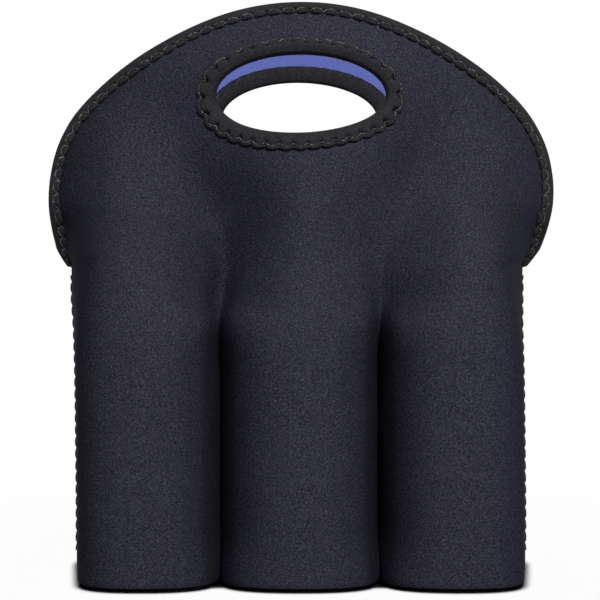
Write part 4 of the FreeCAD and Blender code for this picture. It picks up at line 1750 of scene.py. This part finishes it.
@dataclass
class Studio:
    """White floor and background, soft lamps and the camera. Metres, apart from the floor's millimetres."""

    image_pixels: float = 600.0
    focal_pixels: float = 1389.5
    horizon_pixel: float = 303.4
    middle_pixel: float = 301.0
    sensor: float = 36.0
    distance: float = 0.700
    eye_height: float = 0.131
    floor_half: float = 4000.0
    floor_drop: float = 0.05
    floor_glow: float = 0.97
    floor_glow_stops: Stops = ((0.16, 0.0), (0.42, 1.0))
    # The first colour is the painted contact shadow, the second the floor's own.
    floor_colours: tuple[Colour, Colour] = ((0.01, 0.01, 0.01), (0.25, 0.25, 0.25))
    floor_grain: tuple[float, float] = (40.0, 2.0)
    floor_relief: float = 0.00001
    nook_samples: int = 12
    nook_reach: float = 0.007
    nook_stops: Stops = ((0.5, 0.0), (0.8, 1.0))
    room_light: float = 0.015
    lamp_target: tuple[float, float, float] = (0.0, 0.0, 0.14)
    lamps: tuple[Lamp, ...] = (
        Lamp("key_lamp", (0.30, -1.50, 1.05), size=0.5, watts=31.0),
        Lamp("top_lamp", (0.1, 0.3, 1.6), size=1.0, watts=3.0),
        Lamp("back_lamp", (-0.34, 1.50, 0.80), size=0.5, watts=20.0),
    )

    def build(self) -> None:
        """Builds the studio."""
        self._floor()
        self._world()
        for lamp in self.lamps:
            lamp.build(self.lamp_target)
        self._camera()
        bpy.context.scene.view_settings.view_transform = "Standard"

    @staticmethod
    def _white(wiring: Wiring) -> Signal:
        """Finds the rays that see the plain white background.

        Args:
            wiring: the node tree that asks.

        Returns:
            1 for those rays and 0 for the rest.
        """
        path = wiring.node("ShaderNodeLightPath")
        camera, glossy, through = (
            wiring.signal(path, f"Is {kind} Ray") for kind in ("Camera", "Glossy", "Transmission")
        )
        return camera.most(glossy).most(through)

    def _floor(self) -> None:
        """Lays a wide pale floor that keeps the carrier's shadow, with a contact shadow painted dark next to
        it.
        """
        half, low = self.floor_half, -self.floor_drop
        corners = np.array([[-half, -half, low], [half, -half, low], [half, half, low], [-half, half, low]])
        floor = new_piece("floor", corners, [[0, 1, 2, 3]])
        board = Board("floor_white")
        # Painted contact shadow: ambient occlusion next to the carrier darkens the floor's colour to near
        # black.
        nook = board.node(
            "ShaderNodeAmbientOcclusion", {"samples": self.nook_samples}, {"Distance": self.nook_reach}
        )
        clear = board.ramp(board.signal(nook, "AO"), self.nook_stops)
        board.finish(
            board.noise(*self.floor_grain),
            self.floor_relief,
            Base_Color=board.blend(clear, *self.floor_colours),
            Roughness=1.0,
            Specular_IOR_Level=0.0,
        )
        glow = board.node("ShaderNodeEmission", {}, {"Color": WHITE, "Strength": 1.0})
        length = board.node("ShaderNodeVectorMath", {"operation": "LENGTH"}, {0: board.place()})
        away = board.ramp(board.signal(length, "Value"), self.floor_glow_stops)
        # The painted contact shadow also takes the white glow away next to the carrier.
        share = self._white(board) * (self.floor_glow + away * (1.0 - self.floor_glow)) * clear
        sockets = {0: share, 1: board.signal(board.shader), 2: board.signal(glow)}
        mixed = board.node("ShaderNodeMixShader", {}, sockets)
        output = next(n for n in board.tree.nodes if n.type == "OUTPUT_MATERIAL")
        board.feed(output.inputs["Surface"], board.signal(mixed))
        floor.data.materials.append(board.material)
        LOG.info("floor")

    def _world(self) -> None:
        """Makes the world white to the camera and a plain soft light to the carrier."""
        world = bpy.data.worlds.new("studio")
        bpy.context.scene.world = world
        world.use_nodes = True
        wiring = Wiring(world.node_tree)
        wiring.tree.nodes.clear()
        light, white = (
            wiring.signal(wiring.node("ShaderNodeBackground", {}, {"Color": WHITE, "Strength": strength}))
            for strength in (self.room_light, 1.0)
        )
        mix = wiring.node("ShaderNodeMixShader", {}, {0: self._white(wiring), 1: light, 2: white})
        wiring.node("ShaderNodeOutputWorld", {}, {0: wiring.signal(mix)})

    def _camera(self) -> None:
        """Sets a level camera in front of the carrier."""
        data = bpy.data.cameras.new("camera")
        data.sensor_width = self.sensor
        data.sensor_fit = "HORIZONTAL"
        data.lens = self.sensor * self.focal_pixels / self.image_pixels
        half = self.image_pixels / 2
        data.shift_x = (half - self.middle_pixel) / self.image_pixels
        data.shift_y = (self.horizon_pixel - half) / self.image_pixels
        camera = new_object("camera", data)
        camera.location = (0.0, -self.distance, self.eye_height)
        camera.rotation_euler = (math.pi / 2, 0.0, 0.0)
        bpy.context.scene.camera = camera


EDGE_TAPE = Tape(
    width=5.8, pitch=6.9, cusp=3.7, crest=2.4, step=0.7, thread=ThreadSize(0.9, 0.8), wider_sides=0.75
)
HANDLE_TAPE = partial(
    Tape, pitch=6.0, step=0.6, thread=ThreadSize(0.8, 0.7), loft=3.0, scallop=0.42, squeeze=0.5
)
HANDLE_TAPES = {
    Row.FRONT: HANDLE_TAPE(width=7.4, cusp=3.9, crest=5.2, wider_below=0.2, wider_left=0.2, fold=1.0),
    Row.BACK: HANDLE_TAPE(width=8.8, cusp=5.3, crest=6.6),
}


def main() -> None:
    """Builds the carrier and its studio, and reports each piece."""
    logging.basicConfig(level=logging.INFO, format="%(name)s: %(message)s")
    finishes = (NEOPRENE, LINING, TAPE, THREAD, HIDDEN_THREAD)
    wardrobe = Wardrobe(*(finish.material() for finish in finishes))
    front = PanelShape()
    back = PanelShape(lean=-1.0, hole_up=(1.4, 3.4), hole_down=(0.5, 0.5), hole_long=(0.0, 2.0))
    stitches = StitchTree()
    Base(front, wardrobe).build()
    Dividers(front, wardrobe).build()
    for row, shape in ((Row.FRONT, front), (Row.BACK, back)):
        SidePanel(row, PanelCloth(shape), wardrobe, stitches, EDGE_TAPE, HANDLE_TAPES[row]).build()
    Seams(front, wardrobe, stitches).build()
    Studio().build()


if __name__ == "__main__":
    main()
